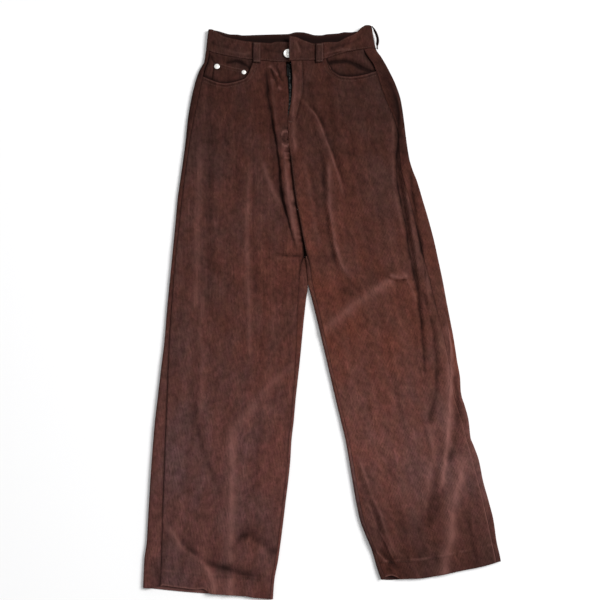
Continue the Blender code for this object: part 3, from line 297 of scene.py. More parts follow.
# Largest creases of the top layer: height (negative presses in), reach to the left and right, and route
FOLDS = {
    "right": (
        fold("crotch pleat", 2.6, 2.2, 10, (-93, 372), (-85, 315), (-75, 245), (-67, 180), (-50, 100)),
        fold("hollow beside the pleat", -1.2, 16, 5, (-104, 372), (-98, 300), (-86, 220), (-66, 140)),
        fold("thigh ridge", 1, 12, 7, (-137, 290), (-137, 150), (-142, 20)),
        fold("outer thigh ridge", 0.9, 6, 14, (-229, 330), (-226, 220), (-236, 60)),
        fold("knee ridge", 1.1, 16, 12, (-120, 20), (-128, -120), (-140, -270)),
        fold("shin ridge", 1, 10, 18, (-214, -80), (-222, -220), (-232, -360)),
        fold("hem ridge", 2.1, 9, 10, (-278, -396), (-238, -435), (-203, -464), (-188, -500)),
        fold("hem trough", -1.6, 8, 8, (-262, -385), (-224, -424), (-180, -452), (-120, -480)),
        fold("inner hem trough", -1.2, 9, 9, (-156, -425), (-126, -415), (-88, -440)),
    ),
    "left": (
        fold("lapped centre front", 3, 4, 18, (-61, 320), (-55, 246), (-46, 172), (-31, 90), (-22, 10)),
        fold("fly ridge", 1.2, 6, 8, (-34, 372), (-24, 352), (22, 252)),
        fold("fly trough", -1.6, 5, 9, (-18, 356), (12, 292), (42, 205)),
        fold("side crease", -2.4, 6, 4.5, (139, 330), (139, 244), (148, 177), (158, 108), (173, -10),
            (186, -120)),
        fold("side ridge", 2.1, 7, 10, (151, 300), (154, 220), (164, 140), (175, 60), (187, -30)),
        fold("second side crease", -2, 5, 5, (163, 224), (170, 150), (180, 90), (193, 30)),
        fold("knee crease", -1.8, 6, 6, (209, 20), (213, -30), (222, -90), (240, -205)),
        fold("thigh ridge", 1.1, 12, 14, (62, 330), (84, 200), (100, 40)),
        fold("knee ridge", 1.2, 14, 16, (118, 20), (136, -120), (150, -260)),
        fold("shin ridge", 1.6, 12, 12, (212, -210), (208, -300), (198, -420)),
        fold("inner shin ridge", 1, 12, 10, (108, -220), (130, -320), (150, -430)),
    ),
}
# Round swells of the top layer
RISES = {
    "right": (
        Rise("open hem", 0.0014, -0.262, -0.505, 0.026, 0.022),
        Rise("its inner corner", 0.0010, -0.205, -0.505, 0.014, 0.014),
    ),
    "left": (
        Rise("tab over the button", 0.0063, -0.058, 0.463, 0.030, 0.040),
        Rise("open hem corner", 0.0022, 0.1174, -0.482, 0.010, 0.014),
    ),
}
# Smaller creases, from soft (0) to crisp (1), whose troughs lie in shade and whose crests catch the light
CREASES = {
    "right": (
        crease("hip crest", 1.2, 6.4, 9.6, 0.3, (-226, 300), (-226, 245), (-225, 180), (-226, 110),
            (-226.5, 50), (-227, -40)),
        crease("hip hollow", -1.3, 8.8, 8.8, 0.3, (-204, 360), (-204, 257), (-205, 180), (-203.5, 88),
            (-205, -40)),
        crease("thigh crest", 1, 4.3, 4.6, 0.5, (-132, 250), (-133.5, 215), (-135.5, 153), (-135, 88),
            (-132, -4), (-127.5, -140)),
        crease("thigh hollow", -0.6, 4.1, 5.4, 0.4, (-124, 250), (-124.2, 219), (-124.5, 153), (-122.3, 97),
            (-121.8, 0)),
        crease("drag from the crotch", 1.4, 4.3, 7.2, 0.4, (-112, 262), (-105, 242), (-97.5, 217), (-86.5, 192),
            (-74, 173.5), (-62.5, 140), (-52, 100)),
        crease("shade over that drag", -0.7, 4.7, 4.7, 0.4, (-98, 250), (-90, 222), (-79, 200), (-67.5, 181)),
        crease("pleat's foot", -1.7, 3, 2.6, 1.0, (-104.5, 450), (-101, 412.5), (-98, 377), (-88, 318.7),
            (-78.5, 259), (-74.5, 200), (-64, 156.6), (-54.5, 117), (-49, 95)),
        crease("pleat's lower end", -1.2, 2.2, 2, 1.0, (-74.5, 215), (-71.5, 185), (-64, 156.6), (-57.5, 130),
            (-52.5, 112), (-50, 98), (-50, 84)),
        crease("pleat's second line", 0.6, 2.9, 3.6, 0.6, (-96, 430), (-91.5, 395), (-88, 360), (-83, 320),
            (-78, 285)),
        crease("crest of the pleat", 1.2, 4.1, 4.3, 0.6, (-73, 295), (-68.5, 272), (-64.7, 228.5), (-60, 185),
            (-49, 121), (-44.4, 80)),
        crease("upper drag line", 1.2, 3.4, 3, 0.7, (-98.5, 441), (-88, 430), (-79, 420)),
        crease("lower drag line", 1.2, 3.4, 3, 0.7, (-91.5, 416), (-82, 402), (-73.5, 392)),
        crease("short tuck", -1.4, 2.2, 2.2, 0.9, (-86.7, 444.5), (-81, 432), (-76, 420), (-71, 409)),
        crease("tuck below it", -1.3, 2.4, 2.4, 0.8, (-96, 438), (-90, 423), (-84.5, 409), (-80, 396)),
        crease("groin tuck", -1.2, 2, 2, 0.9, (-86, 81), (-66, 78.3), (-55.3, 76.5), (-42.6, 77.4), (-32, 78)),
        crease("groin lip", 0.7, 4.3, 3.8, 0.4, (-84, 74.5), (-66, 72.5), (-55.3, 71.5), (-41, 72)),
        crease("inner thigh hollow", -0.7, 8.1, 6.8, 0.1, (-112, 190), (-104, 110), (-94, 30)),
        crease("shin crest", 1, 5.1, 5.8, 0.4, (-214, 20), (-215.5, -30), (-220.5, -68), (-213, -103),
            (-214, -157), (-215, -230)),
        crease("shin drag", -1, 4.8, 4.8, 0.5, (-228, -165), (-225.5, -192), (-220, -227), (-212, -265),
            (-196, -305), (-183, -340)),
        crease("knee drag", 1.4, 7.2, 10.1, 0.4, (-40, -110), (-53, -123), (-76, -141), (-101, -165.5),
            (-127, -200.5), (-151, -227), (-167, -258)),
        crease("long shin crest", 2.4, 8.4, 8.4, 0.4, (-163, -210), (-159, -296), (-159.5, -339),
            (-159.5, -407), (-159, -457), (-160, -560), (-160, -640)),
        crease("hollow inside the shin", -1, 9.5, 9.5, 0.2, (-142, -230), (-140, -300), (-138, -370),
            (-136, -420)),
        crease("hem trough's bottom", -2.5, 8.6, 7.6, 0.5, (-274, -385), (-259.5, -406.6), (-236.6, -431.8),
            (-202, -458.5), (-159, -473.4), (-121, -483.4), (-96, -489)),
        crease("hem ridge's crest", 2.4, 8, 7.4, 0.55, (-280, -380), (-272, -393), (-259.5, -410), (-245, -432),
            (-219, -453.5), (-202, -467), (-189, -496.6), (-186, -530)),
        crease("inner hem trough's bottom", -2, 8.6, 8.6, 0.45, (-166, -446), (-156, -437), (-142, -420),
            (-129, -415), (-115, -422), (-101, -432), (-85, -443.5), (-76, -450)),
        crease("inner hem lip", 0.7, 5.8, 5.8, 0.3, (-150, -445), (-137, -430), (-124, -427), (-108, -434),
            (-94, -445)),
        crease("over the knot at the fly's foot", 1.6, 1.6, 1.6, 0.8, (-74.5, 304.3), (-69.9, 310.8),
            (-63.4, 310.8), (-57.9, 304.3)),
        crease("across the knot", -1.8, 1.5, 1.5, 0.8, (-74, 298.7), (-68, 294), (-62.5, 296.8), (-58.8, 300.5)),
        crease("under the knot", 1.5, 1.6, 1.6, 0.8, (-72.7, 288.5), (-65.3, 282.9), (-57.9, 287.6)),
        crease("tuck over the knot", -1.1, 1.4, 1.4, 0.7, (-69.9, 321.1), (-62.5, 318.3), (-57, 320.1)),
        crease("tuck under the knot", -1.1, 1.4, 1.4, 0.7, (-71.8, 275.4), (-64.4, 272.6), (-57.9, 274.5)),
        crease("dark corner of the hem", -1.2, 6, 6, 0.5, (-296, -450), (-285.3, -473.4), (-281.4, -494.9),
            (-280, -515)),
        crease("outer hem dent", -0.9, 8.1, 8.1, 0.2, (-284, -430), (-278, -460), (-272, -490), (-268, -530)),
    ),
    "left": (
        crease("edge of the fly", -1, 1.8, 2.4, 0.8, (-35, 455), (-34, 428), (-33.8, 406), (-35.7, 383),
            (-39.4, 367), (-43.6, 350), (-49, 330)),
        crease("fly's raised edge", 0.7, 4.3, 2, 0.4, (-38.5, 455), (-37.5, 428), (-37.2, 406), (-39.2, 383),
            (-43, 366), (-48, 346)),
        crease("fly strip's crest", 1.2, 5.1, 5.1, 0.5, (-49, 430), (-50.2, 389), (-52, 350), (-52, 315),
            (-48, 265)),
        crease("upper hip drag", 0.6, 4.3, 4.3, 0.4, (-30, 430), (-24, 420), (-20, 408)),
        crease("fly ridge's crest", 1.1, 2.6, 2.6, 0.7, (-33, 371), (-26, 363.4), (-13, 348), (1, 318.7),
            (14.5, 280), (25.5, 247.5), (36, 207.6), (41, 185)),
        crease("fly trough's bottom", -1.2, 2.6, 3.2, 0.8, (-25, 369), (-18.5, 361.5), (-5.5, 344), (7, 313),
            (22, 272.4), (34.5, 234), (42, 205)),
        crease("crotch crest", 1.4, 4, 4, 0.7, (12, 260), (14, 228.5), (14, 179), (21, 121), (31.5, 71),
            (47.5, 45), (60, 30)),
        crease("crotch hollow", -1.3, 5, 5, 0.6, (-6, 290), (1.5, 257), (5, 200), (10, 143.5), (19, 87.6),
            (30, 50)),
        crease("second crotch crest", 0.7, 5.1, 5.8, 0.4, (-36, 262), (-26.5, 228), (-20, 190), (-12, 140),
            (-4, 90)),
        crease("second crotch hollow", -0.7, 5.4, 5.4, 0.4, (-24, 255), (-17, 215), (-8, 165), (0, 110)),
        crease("side crease's bottom", -1.4, 2.6, 2.8, 1.0, (120, 430), (128.7, 402.6), (140.3, 371),
            (143, 318.7), (138, 243.7), (143.6, 185), (153.6, 134), (160, 78), (170, 28.6), (176, -22.4),
            (180, -85.5), (183, -160)),
        crease("lip of the side crease", 0.7, 4.3, 3.8, 0.5, (131, 360), (131.4, 334), (132.6, 295.5),
            (131.8, 247.5), (132.1, 207.6), (136.2, 181), (146.3, 132), (151, 100)),
        crease("second side crease's bottom", -1.3, 2.6, 2.6, 0.9, (162, 255), (163, 238), (166, 200),
            (169, 172), (176, 121), (181.5, 84), (186, 41.5), (188, 20)),
        crease("second side crest", 0.9, 4.3, 4.3, 0.4, (151, 250), (153, 219), (158, 172), (166, 115.5),
            (172, 65), (176, 40)),
        crease("third side crest", 0.9, 4.3, 4.3, 0.5, (182, 100), (185, 78), (189.5, 32), (191, -13),
            (194.5, -58.6), (197, -90)),
        crease("outer dent", -0.8, 3.8, 3.8, 0.6, (204, 120), (207.5, 106), (213.7, 65), (218, 14),
            (222, -40.5), (225, -70)),
        crease("knee drag", 2, 10.1, 7.2, 0.4, (-4, -75), (1, -62), (41.5, -26), (68.6, -4), (89.4, 8.5),
            (125, 34), (152, 42), (166, 48)),
        crease("shade over the knee drag", -1.4, 10.8, 6.8, 0.3, (0, -12), (42, 14), (78, 30.5), (114, 45),
            (130, 52)),
        crease("groin tuck", -0.6, 2.7, 2.7, 0.6, (-30, 74.6), (-6.5, 76.5), (20.6, 74.6), (30, 74)),
        crease("knee crease's bottom", -1.6, 4.8, 4.8, 0.5, (181, 20), (185, -4), (195, -44), (201, -85.5),
            (202.7, -130), (201, -169), (191, -211), (186, -240)),
        crease("long shin crest", 2.7, 5, 5.4, 0.9, (222, 30), (225.5, -20), (226.5, -67.6), (227.6, -94.5),
            (227.3, -139), (221, -209), (214, -279), (206, -330), (201, -370)),
        crease("shade beside the shin crest", -1.6, 7.7, 7.7, 0.5, (230, -120), (233, -148), (238.5, -183),
            (237.5, -218), (226.5, -270), (209.5, -327), (196, -373), (190, -400)),
        crease("outer shin crest", 2.6, 8.4, 8.4, 0.5, (246, -270), (241, -305), (231.6, -339), (224, -373),
            (219, -423), (208, -460), (204, -500)),
        crease("inner shin crest", 1.3, 5.8, 5.8, 0.5, (187, -215), (189, -239), (191, -279), (182, -322),
            (179, -364), (177, -390)),
        crease("shin hollow", -1.2, 6.1, 6.1, 0.5, (217, -235), (213, -253), (201, -305), (188, -356),
            (182, -390), (178, -410)),
        crease("outer hem line", -0.7, 4.1, 4.1, 0.5, (254, -350), (252, -390), (258, -430), (262, -460)),
        crease("inner edge's trough", -1.3, 6, 7, 0.4, (56, -270), (62, -305), (73.7, -342), (89, -378),
            (105.4, -432), (128, -470), (142, -500)),
        crease("inner edge's crest", 1, 3.4, 3.4, 0.7, (60, -275), (69, -301), (82, -342), (99, -381),
            (119, -437), (128, -455)),
        crease("knee pucker", -1.7, 2.2, 1.8, 1.0, (119.3, 37.6), (128.3, 33.9), (140.8, 31.6), (153.4, 33.9)),
        crease("lip of the knee pucker", 1.4, 2.4, 2.2, 0.9, (121.2, 42.2), (131.9, 38.5), (144.5, 36.7),
            (155.3, 39.4)),
        crease("run off the knee pucker", 0.8, 2.4, 2.4, 0.6, (150, 34), (158, 24), (163.8, 13.8),
            (170.5, -9.9)),
        crease("line inside the hem corner", 0.9, 2, 2, 0.7, (75.2, -355.9), (82, -372.9), (90.3, -393.1),
            (102.1, -416.7), (115.4, -443.4), (125.4, -461.7), (130, -470)),
        crease("edge line above the hem corner", 1.4, 1.8, 1.8, 0.9, (77, -414), (81.5, -425.2), (88.2, -438.6),
            (95.9, -447.4), (108, -456.9), (112.9, -462.9)),
        crease("shade inside that line", -1, 4.6, 4.6, 0.6, (96, -438), (106, -450), (115, -460.1),
            (121.9, -470.1), (125.3, -478.5)),
        crease("thigh hollow", -0.9, 10.8, 10.8, 0.1, (70, 260), (80, 160), (94, 70)),
        crease("outer thigh crest", 0.9, 7.2, 8.7, 0.2, (98, 330), (106, 240), (116, 140), (128, 60)),
        crease("calf hollow", -0.9, 10.8, 9.5, 0.1, (110, -70), (126, -170), (140, -270)),
    ),
}

# Painted shade along the outseam on the front, and painted highlight, below 0, where it stands up
OUTSEAM_SHADES = {
    "right": (Shade(0.50, 0.5), Shade(0.10, 0.55), Shade(-0.20, 0.8), Shade(-0.43, 0.8), Shade(-0.50, 0.45)),
    "left": (Shade(0.50, 0.5), Shade(0.00, 0.5), Shade(-0.12, -0.3), Shade(-0.30, -0.8), Shade(-0.50, -0.9)),
}

# Shallow creases of the layer on the floor
FLOOR_CREASES = {
    "right": (
        crease("seat drag", 0.7, 6, 6, 0.2, (-70, 380), (-105, 300), (-150, 235), (-190, 200)),
        crease("under the seat", 0.8, 5, 7, 0.3, (-45, 130), (-85, 100), (-140, 92), (-200, 108)),
        crease("behind the knee", 0.7, 6, 6, 0.2, (-70, -60), (-130, -85), (-200, -70)),
        crease("calf", 0.6, 8, 8, 0.1, (-180, -150), (-186, -280), (-176, -420)),
        crease("thigh", 0.6, 9, 7, 0.1, (-190, 170), (-182, 60), (-186, -60)),
    ),
    "left": (
        crease("seat drag", 0.7, 6, 6, 0.2, (-40, 370), (-6, 300), (40, 240), (90, 210)),
        crease("under the seat", 0.8, 7, 5, 0.3, (-20, 120), (30, 88), (90, 85), (150, 105)),
        crease("behind the knee", 0.8, 6, 6, 0.2, (20, -50), (80, -78), (160, -66)),
        crease("second behind the knee", 0.6, 5, 6, 0.2, (60, -110), (120, -128), (190, -110)),
        crease("calf", 0.6, 8, 8, 0.1, (160, -190), (190, -300), (214, -410)),
    ),
}

FRONT_COLUMNS = 140
COLUMN_BUNCHING = 0.6    # 0 spaces the columns evenly
HIP_ROWS = 62            # rows from the top of a panel to the level line, and from there to the hem
LEG_ROWS = 250
WRAP_COLUMNS = 9
ROLL_COLUMNS = 8
FLOOR_COLUMNS = 26
INNER_WRAP_COLUMNS = 3

# Sewing: the plain topstitch, and its rows' distances from the edges they follow
TOPSTITCH = Stitch(0.0026, 0.0009, 0.00050)
SCOOP_ROWS = (0.0022, 0.0075)
BAND_ROW_IN = 0.0026
CENTRE_ROW = 0.0024
HEM_ROW = (0.02, 0.98)   # the share across at which the hem's row starts and ends
FLOOR_ROW_Z = 0.00012    # on the layer that lies on the floor, sunk so that the cloth still lies flat
FLY_FOOT = 0.3300
FLY_ROW = way((-36.5, 445), (-34.5, 428), (-34.2, 408), (-35.2, 391), (-39.5, 373), (-44, 356), (-48, 340),
    (-52, 332))

SIDES = ("right", "left")
INWARD = {"right": 1.0, "left": -1.0}


def smooth_line(rows, key, value):
    """A smooth function through a table's rows, which never swings past them."""
    rows = sorted(rows, key=lambda row: getattr(row, key))
    at = np.array([getattr(row, key) for row in rows])
    to = np.array([getattr(row, value) for row in rows])
    steps = np.diff(at)
    slopes = np.diff(to) / steps
    before, after = slopes[:-1], slopes[1:]
    both = np.where(before + after == 0, 1.0, before + after)
    middle = np.where(before * after <= 0, 0.0, 2 * before * after / both)
    tangents = np.concatenate([slopes[:1], middle, slopes[-1:]])

    def read(position):
        position = np.clip(position, at[0], at[-1])
        i = np.clip(np.searchsorted(at, position, side="right") - 1, 0, len(steps) - 1)
        step = steps[i]
        s = (position - at[i]) / step
        return (
            (2 * s**3 - 3 * s**2 + 1) * to[i] + (s**3 - 2 * s**2 + s) * step * tangents[i]
            + (3 * s**2 - 2 * s**3) * to[i + 1] + (s**3 - s**2) * step * tangents[i + 1]
        )

    return read


OUTER_EDGE = {side: smooth_line(OUTER[side], "y", "edge") for side in SIDES}
OUTSEAM = {side: smooth_line(OUTER[side], "y", "seam") for side in SIDES}
INNER_EDGE = {side: smooth_line(INNER[side], "y", "edge") for side in SIDES}
INSEAM = {side: smooth_line(INNER[side], "y", "seam") for side in SIDES}
FRONT_SEAM_Y = smooth_line(FRONT_SEAM, "x", "y")
BACK_SEAM_Y = smooth_line(BACK_SEAM, "x", "y")
FRONT_TOP_Y = {side: smooth_line(FRONT_TOP[side], "x", "y") for side in SIDES}
BACK_TOP_Y = smooth_line(BACK_TOP, "x", "y")
CENTRE_BACK_X = smooth_line(CENTRE_BACK, "y", "x")
SCOOP_Y = {side: smooth_line(SCOOP[side], "x", "y") for side in SIDES}
HEM_Y = {side: smooth_line(HEM[side], "across", "y") for side in SIDES}
DRAWN_UP = {side: smooth_line(HEM_DRAWN_UP[side], "across", "up") for side in SIDES}
COIN_TOP_Y = smooth_line(COIN_TOP, "x", "y")
GRAIN_X = {side: smooth_line(GRAIN[side], "y", "x") for side in SIDES}
OUTSEAM_SHADE = {side: smooth_line(OUTSEAM_SHADES[side], "y", "dark") for side in SIDES}


def mix(a, b, share):
    return a + (b - a) * share


def ease(share):
    share = np.clip(share, 0.0, 1.0)
    return share * share * (3 - 2 * share)


def even_shares(count):
    """Shares from 0 to 1 in even steps."""
    return np.arange(count + 1) / count


def rounded_route(path):
    """A route with its corners rounded off, as an array of points."""
    steps = 8
    points = np.array(path, float)
    padded = np.vstack([2 * points[0] - points[1], points, 2 * points[-1] - points[-2]])
    share = np.arange(steps)[:, None] / steps
    parts = []
    for a, b, c, d in zip(padded, padded[1:], padded[2:], padded[3:]):
        parts.append(
            0.5 * (2 * b + (c - a) * share + (2 * a - 5 * b + 4 * c - d) * share**2
                   + (3 * b - a - 3 * c + d) * share**3)
        )
    return np.vstack([*parts, points[-1:]])


def run_along(points):
    """How far along its row each point lies, from 0 at the first."""
    steps = np.linalg.norm(np.diff(points, axis=-2), axis=-1)
    first = np.zeros((*steps.shape[:-1], 1))
    return np.concatenate([first, np.cumsum(steps, axis=-1)], axis=-1)


def crease_height(crease, x, y):
    """What a crease adds to the top layer: full along its route, fading at its ends."""
    high = np.zeros(np.shape(x))
    route = rounded_route(crease.path)
    reach = CREASE_FAR * max(crease.left, crease.right)
    low, top = route.min(axis=0) - reach, route.max(axis=0) + reach
    close_by = (x > low[0]) & (x < top[0]) & (y > low[1]) & (y < top[1])
    if not close_by.any():
        return high
    near_x, near_y = x[close_by], y[close_by]
    legs = np.diff(route, axis=0)
    lengths = np.hypot(legs[:, 0], legs[:, 1])
    run = np.concatenate([[0.0], np.cumsum(lengths)])
    nearest = np.full(near_x.shape, np.inf)
    share = np.zeros(near_x.shape)
    to_the_left = np.zeros(near_x.shape)
    for start, leg, length, before in zip(route, legs / lengths[:, None], lengths, run):
        off_x, off_y = near_x - start[0], near_y - start[1]
        along = np.clip(off_x * leg[0] + off_y * leg[1], 0.0, length)
        off = np.hypot(off_x - along * leg[0], off_y - along * leg[1])
        closer = off < nearest
        nearest = np.where(closer, off, nearest)
        share = np.where(closer, (before + along) / run[-1], share)
        to_the_left = np.where(closer, off_x * leg[1] - off_y * leg[0], to_the_left)
    over = CREASE_FADE if isinstance(crease, Crease) else FOLD_FADE
    fade = ease(share / over) * ease((1 - share) / over)
    crisp = 0.0
    if isinstance(crease, Crease):
        crisp, start = crease.crisp, WAVE_START * (crease.path[0].x + crease.path[0].y)
        gone = share * run[-1]
        to_the_left = np.sign(to_the_left) * nearest + CREASE_WANDER * (
            np.sin(gone / WANDER_WAVES[0] + start) + 0.6 * np.sin(gone / WANDER_WAVES[1] + 2 * start)
        )
        nearest = np.abs(to_the_left)
        uneven = np.sin(gone / UNEVEN_WAVES[0] - start) + 0.7 * np.sin(gone / UNEVEN_WAVES[1] + 3 * start)
        fade = fade * (1 + CREASE_UNEVEN * uneven)
    wide = np.where(to_the_left > 0, crease.left, crease.right)
    high[close_by] = crease.high * fade * np.exp(-((nearest / wide) ** (2 - crisp)))
    return high


def rise_height(rise, x, y):
    return rise.high * np.exp(-(((x - rise.x) / rise.reach_x) ** 2) - ((y - rise.y) / rise.reach_y) ** 2)


def plain_height(y):
    """The top layer's outer face without its creases."""
    return LOFT + WAIST_RISE * ease((y - WAIST_RISE_FROM) / WAIST_RISE_OVER)


# Soft waves that run down the legs: height, width of one wave, how far and how fast it wanders, and its start
RIPPLES = (
    Ripple(0.00052, 0.047, 1.3, 6.1, 0.4), Ripple(0.00038, 0.029, 1.6, 8.7, 1.9),
    Ripple(0.00020, 0.017, 1.1, 12.3, 3.6), Ripple(0.00034, 0.071, 2.0, 4.3, 5.2),
)
CROSS_HIGH = 0.00016      # waves across the legs
CROSS_WAVE = 0.057
SLACK_FADES_FROM = 0.390  # towards the waist


def slack(side, x, y):
    """Slight unevenness of soft cloth, which fades out at the waist."""
    across = x - GRAIN_X[side](y)
    height = 0.0
    for ripple in RIPPLES:
        turn = ripple.wander * np.sin(ripple.rate * y + ripple.phase)
        strength = 0.6 + 0.4 * np.sin(1.7 * ripple.rate * y + 2 * ripple.phase + 25 * across)
        height = height + ripple.high * strength * np.sin(2 * math.pi * across / ripple.across + turn)
    cross = CROSS_HIGH * np.sin(2 * math.pi * y / CROSS_WAVE + 22 * across + 1.2 * np.sin(9 * y))
    return (height + cross) * (1 - 0.8 * ease((y - SLACK_FADES_FROM) / 0.050))


def top_height(side, x, y):
    """The top layer's outer face."""
    x, y = np.broadcast_arrays(np.asarray(x, float), np.asarray(y, float))
    height = plain_height(y) + slack(side, x, y)
    for crease in FOLDS[side] + CREASES[side]:
        height = height + crease_height(crease, x, y)
    for rise in RISES[side]:
        height = height + rise_height(rise, x, y)
    return np.maximum(height, LEAST_LOFT)


def crease_shade(side, x, y):
    """The shade painted along the crisp troughs, and the highlight painted, below 0, on the crests."""
    shade = np.zeros(np.shape(x))
    for crease in CREASES[side]:
        if crease.crisp >= SHADED_FROM:
            shade = shade - LEG_SHADE * crease.crisp * crease_height(crease, x, y)
    return shade


def pucker(along, off, reach, high):
    """Small ripples that a row of stitches draws up in the cloth beside it."""
    return high * np.sin(PUCKER_RATE * along + 1.4 * np.sin(PUCKER_DRIFT * along)) * near(off, reach)


def near(distance, reach):
    return np.exp(-((distance / reach) ** 2))


def by_pocket(side, x):
    """1 where a front's top edge is its pocket opening, and 0 where it is the waist seam."""
    return ease(INWARD[side] * (SCOOP[side][-1].x - x) / 0.004)


def front_face(side, x, y):
    """A front panel's outer face, with what its sewing does to it."""
    below = np.maximum(SCOOP_Y[side](x) - y, 0.0)
    opening = by_pocket(side, x)
    from_outseam = np.abs(x - OUTSEAM[side](y))
    z = top_height(side, x, y)
    z = z + POCKET_GAPE[side] * ease(from_outseam / GAPE_FROM_SEAM) * opening * np.exp(-below / GAPE_REACH)
    z = z + opening * (pucker(x, below, 0.007, 0.00022) + RIM_HIGH * near(below - 0.0008, 0.0016))
    z = z - opening * RIM_HIGH * near(below - 0.0045, 0.0018)
    seam = FRONT_SEAM_Y(x) - y
    if side == "right":
        z = z + GATHERS_HIGH * gathers(x, y)
    return z + (1 - opening) * (pucker(x, seam, 0.009, 0.00026) - 0.0002 * near(seam, 0.0016))


def gathers(x, y):
    """Small scallops that the crotch seam draws up in the edge of the right front, from -1 to 1."""
    along = ease((GATHERS_TOP - y) / GATHERS_FADE) * ease((y - GATHERS_FOOT) / GATHERS_FADE)
    strength = 0.55 + 0.45 * np.sin(y / 0.0127)
    scallops = np.sin(y / 0.0029 + 2.6 * np.sin(y / 0.0083) + 1.2 * np.sin(y / 0.0047))
    return along * (strength * scallops) * near(x - INNER_EDGE["right"](y) + 0.004, 0.0050)


def loop_shadow(x, y):
    """The shade close beside each front belt loop: dark along the wearer's right of it, and less so on its left."""
    dark = 0.0
    for loop in LOOPS:
        foot, top = FRONT_SEAM_Y(loop.x) - LOOP_BELOW_SEAM, FRONT_TOP_Y[loop.side](loop.x)
        beside = near(x - loop.x + LOOP_WIDE / 2 + 0.0006, 0.0014) + 0.6 * near(x - loop.x - LOOP_WIDE / 2, 0.0009)
        dark = dark + beside * ease((y - foot + 0.003) / 0.003) * ease((top + 0.002 - y) / 0.003)
    return dark


def inner_x(side, y, layer):
    """The inner edge of a layer, half a seam's gap in from the shared centre line."""
    shared = INNER_EDGE[side](y)
    if layer == "back":
        shared = np.where(y > FORK_Y, CENTRE_BACK_X(y), shared)
    return shared - INWARD[side] * SEAM_GAP / 2


def share_across(side, x, y):
    """How far across the front a point lies, from the leg's outer edge to its inner one."""
    outer = OUTER_EDGE[side](y)
    return (x - outer) / (inner_x(side, y, "front") - outer)


def seam_share_y(side, across, layer):
    """The waist seam's y at a share of the way in from the outer edge."""
    seam = FRONT_SEAM_Y if layer == "front" else BACK_SEAM_Y
    y = np.full(np.shape(across), WAIST_Y)
    for _ in range(6):
        x = mix(OUTER_EDGE[side](y), inner_x(side, y, layer), across)
        y = seam(x)
    return y - SEAM_GAP / 2


def down_at(side, y):
    """The share down at which the inner edge reaches this y."""
    return (WAIST_Y - y) / (WAIST_Y - HEM_Y[side](1.0))


def level(side, across, down, layer):
    """The y of a point a share across and a share down, on a layer of the garment."""
    straight = mix(WAIST_Y, HEM_Y[side](across), down)
    fade = 1 - ease(down / down_at(side, LEVEL_Y))
    return straight + (seam_share_y(side, across, layer) - WAIST_Y) * fade


def front_plan(side, column_share, down):
    """The point under a front panel, a share of the way from its outseam to its centre front or inseam."""
    across = column_share
    for _ in range(4):
        y = level(side, across, down, "front")
        outer, inner = OUTER_EDGE[side](y), inner_x(side, y, "front")
        first = OUTSEAM[side](y) + INWARD[side] * SEAM_GAP / 2
        rolled = INWARD[side] * (inner - INSEAM[side](y)) > SEAM_GAP
        last = np.where(rolled, INSEAM[side](y) - INWARD[side] * SEAM_GAP / 2, inner)
        x = mix(first, last, column_share)
        across = (x - outer) / (inner - outer)
    return x, y


def scoop_start(side, shares):
    """The share down at which each column of the front meets the pocket opening, or 0 at the waist seam."""
    low, high = np.zeros(shares.shape), np.full(shares.shape, float(down_at(side, LEVEL_Y)))
    x, y = front_plan(side, shares, low)
    whole = (y <= SCOOP_Y[side](x)) | (INWARD[side] * (x - SCOOP[side][-1].x) > 0)
    for _ in range(24):
        middle = (low + high) / 2
        x, y = front_plan(side, shares, middle)
        above = y > SCOOP_Y[side](x)
        low = np.where(above, middle, low)
        high = np.where(above, high, middle)
    return np.where(whole, 0.0, high)


def column_shares(columns):
    """Columns of a front, closer together towards its two seams, where the sharper creases are."""
    even = even_shares(columns)
    return even - COLUMN_BUNCHING * np.sin(2 * math.pi * even) / (2 * math.pi)


def rows_down(side, start):
    """Shares down of a panel's rows: from its top edge to the level line, and from there to the hem."""
    level_down = float(down_at(side, LEVEL_Y))
    hip = np.arange(HIP_ROWS)[:, None] / HIP_ROWS
    leg = even_shares(LEG_ROWS)[:, None]
    return np.vstack([mix(start[None, :], level_down, hip), mix(level_down, 1.0, leg) + 0 * start[None, :]])


def placed(name, data):
    """A new object in the scene."""
    made = bpy.data.objects.new(name, data)
    bpy.context.scene.collection.objects.link(made)
    return made


def cloth_mesh(name, points, cut, close, flipped, finishes, keep=None):
    """A grid of cloth from its points, with its place in the cut as a UV map, and the shade painted into its colour,
    which below 0 is painted highlight.

    The finishes are those of its right side and its wrong side.
    """
    rows, columns = points.shape[0] - 1, points.shape[1] - 1
    corner = (np.arange(rows)[:, None] * (columns + 1) + np.arange(columns)[None, :]).ravel()
    quads = np.stack([corner, corner + columns + 1, corner + columns + 2, corner + 1], axis=1)
    if keep is not None:
        quads = quads[keep.ravel()]
    if flipped:
        quads = quads[:, ::-1]
    used = np.unique(quads)
    renumber = np.full((rows + 1) * (columns + 1), -1)
    renumber[used] = np.arange(len(used))
    quads = renumber[quads]
    mesh = bpy.data.meshes.new(name)
    mesh.from_pydata(points.reshape(-1, 3)[used].tolist(), [], quads.tolist())
    chart = mesh.uv_layers.new(name="cut")
    chart.data.foreach_set("uv", cut.reshape(-1, 2)[used][quads.ravel()].astype(np.float32).ravel())
    mark = mesh.attributes.new("shade", "FLOAT", "POINT")
    mark.data.foreach_set("value", np.clip(close, -1, 1).ravel()[used].astype(np.float32))
    for finish in finishes:
        mesh.materials.append(finish)
    mesh.update()
    return placed(name, mesh)


def pick(piece):
    """Makes a piece the only one selected."""
    bpy.ops.object.select_all(action="DESELECT")
    bpy.context.view_layer.objects.active = piece
    piece.select_set(True)


def smooth_faces(piece, degrees=40):
    pick(piece)
    bpy.ops.object.shade_smooth_by_angle(angle=math.radians(degrees))


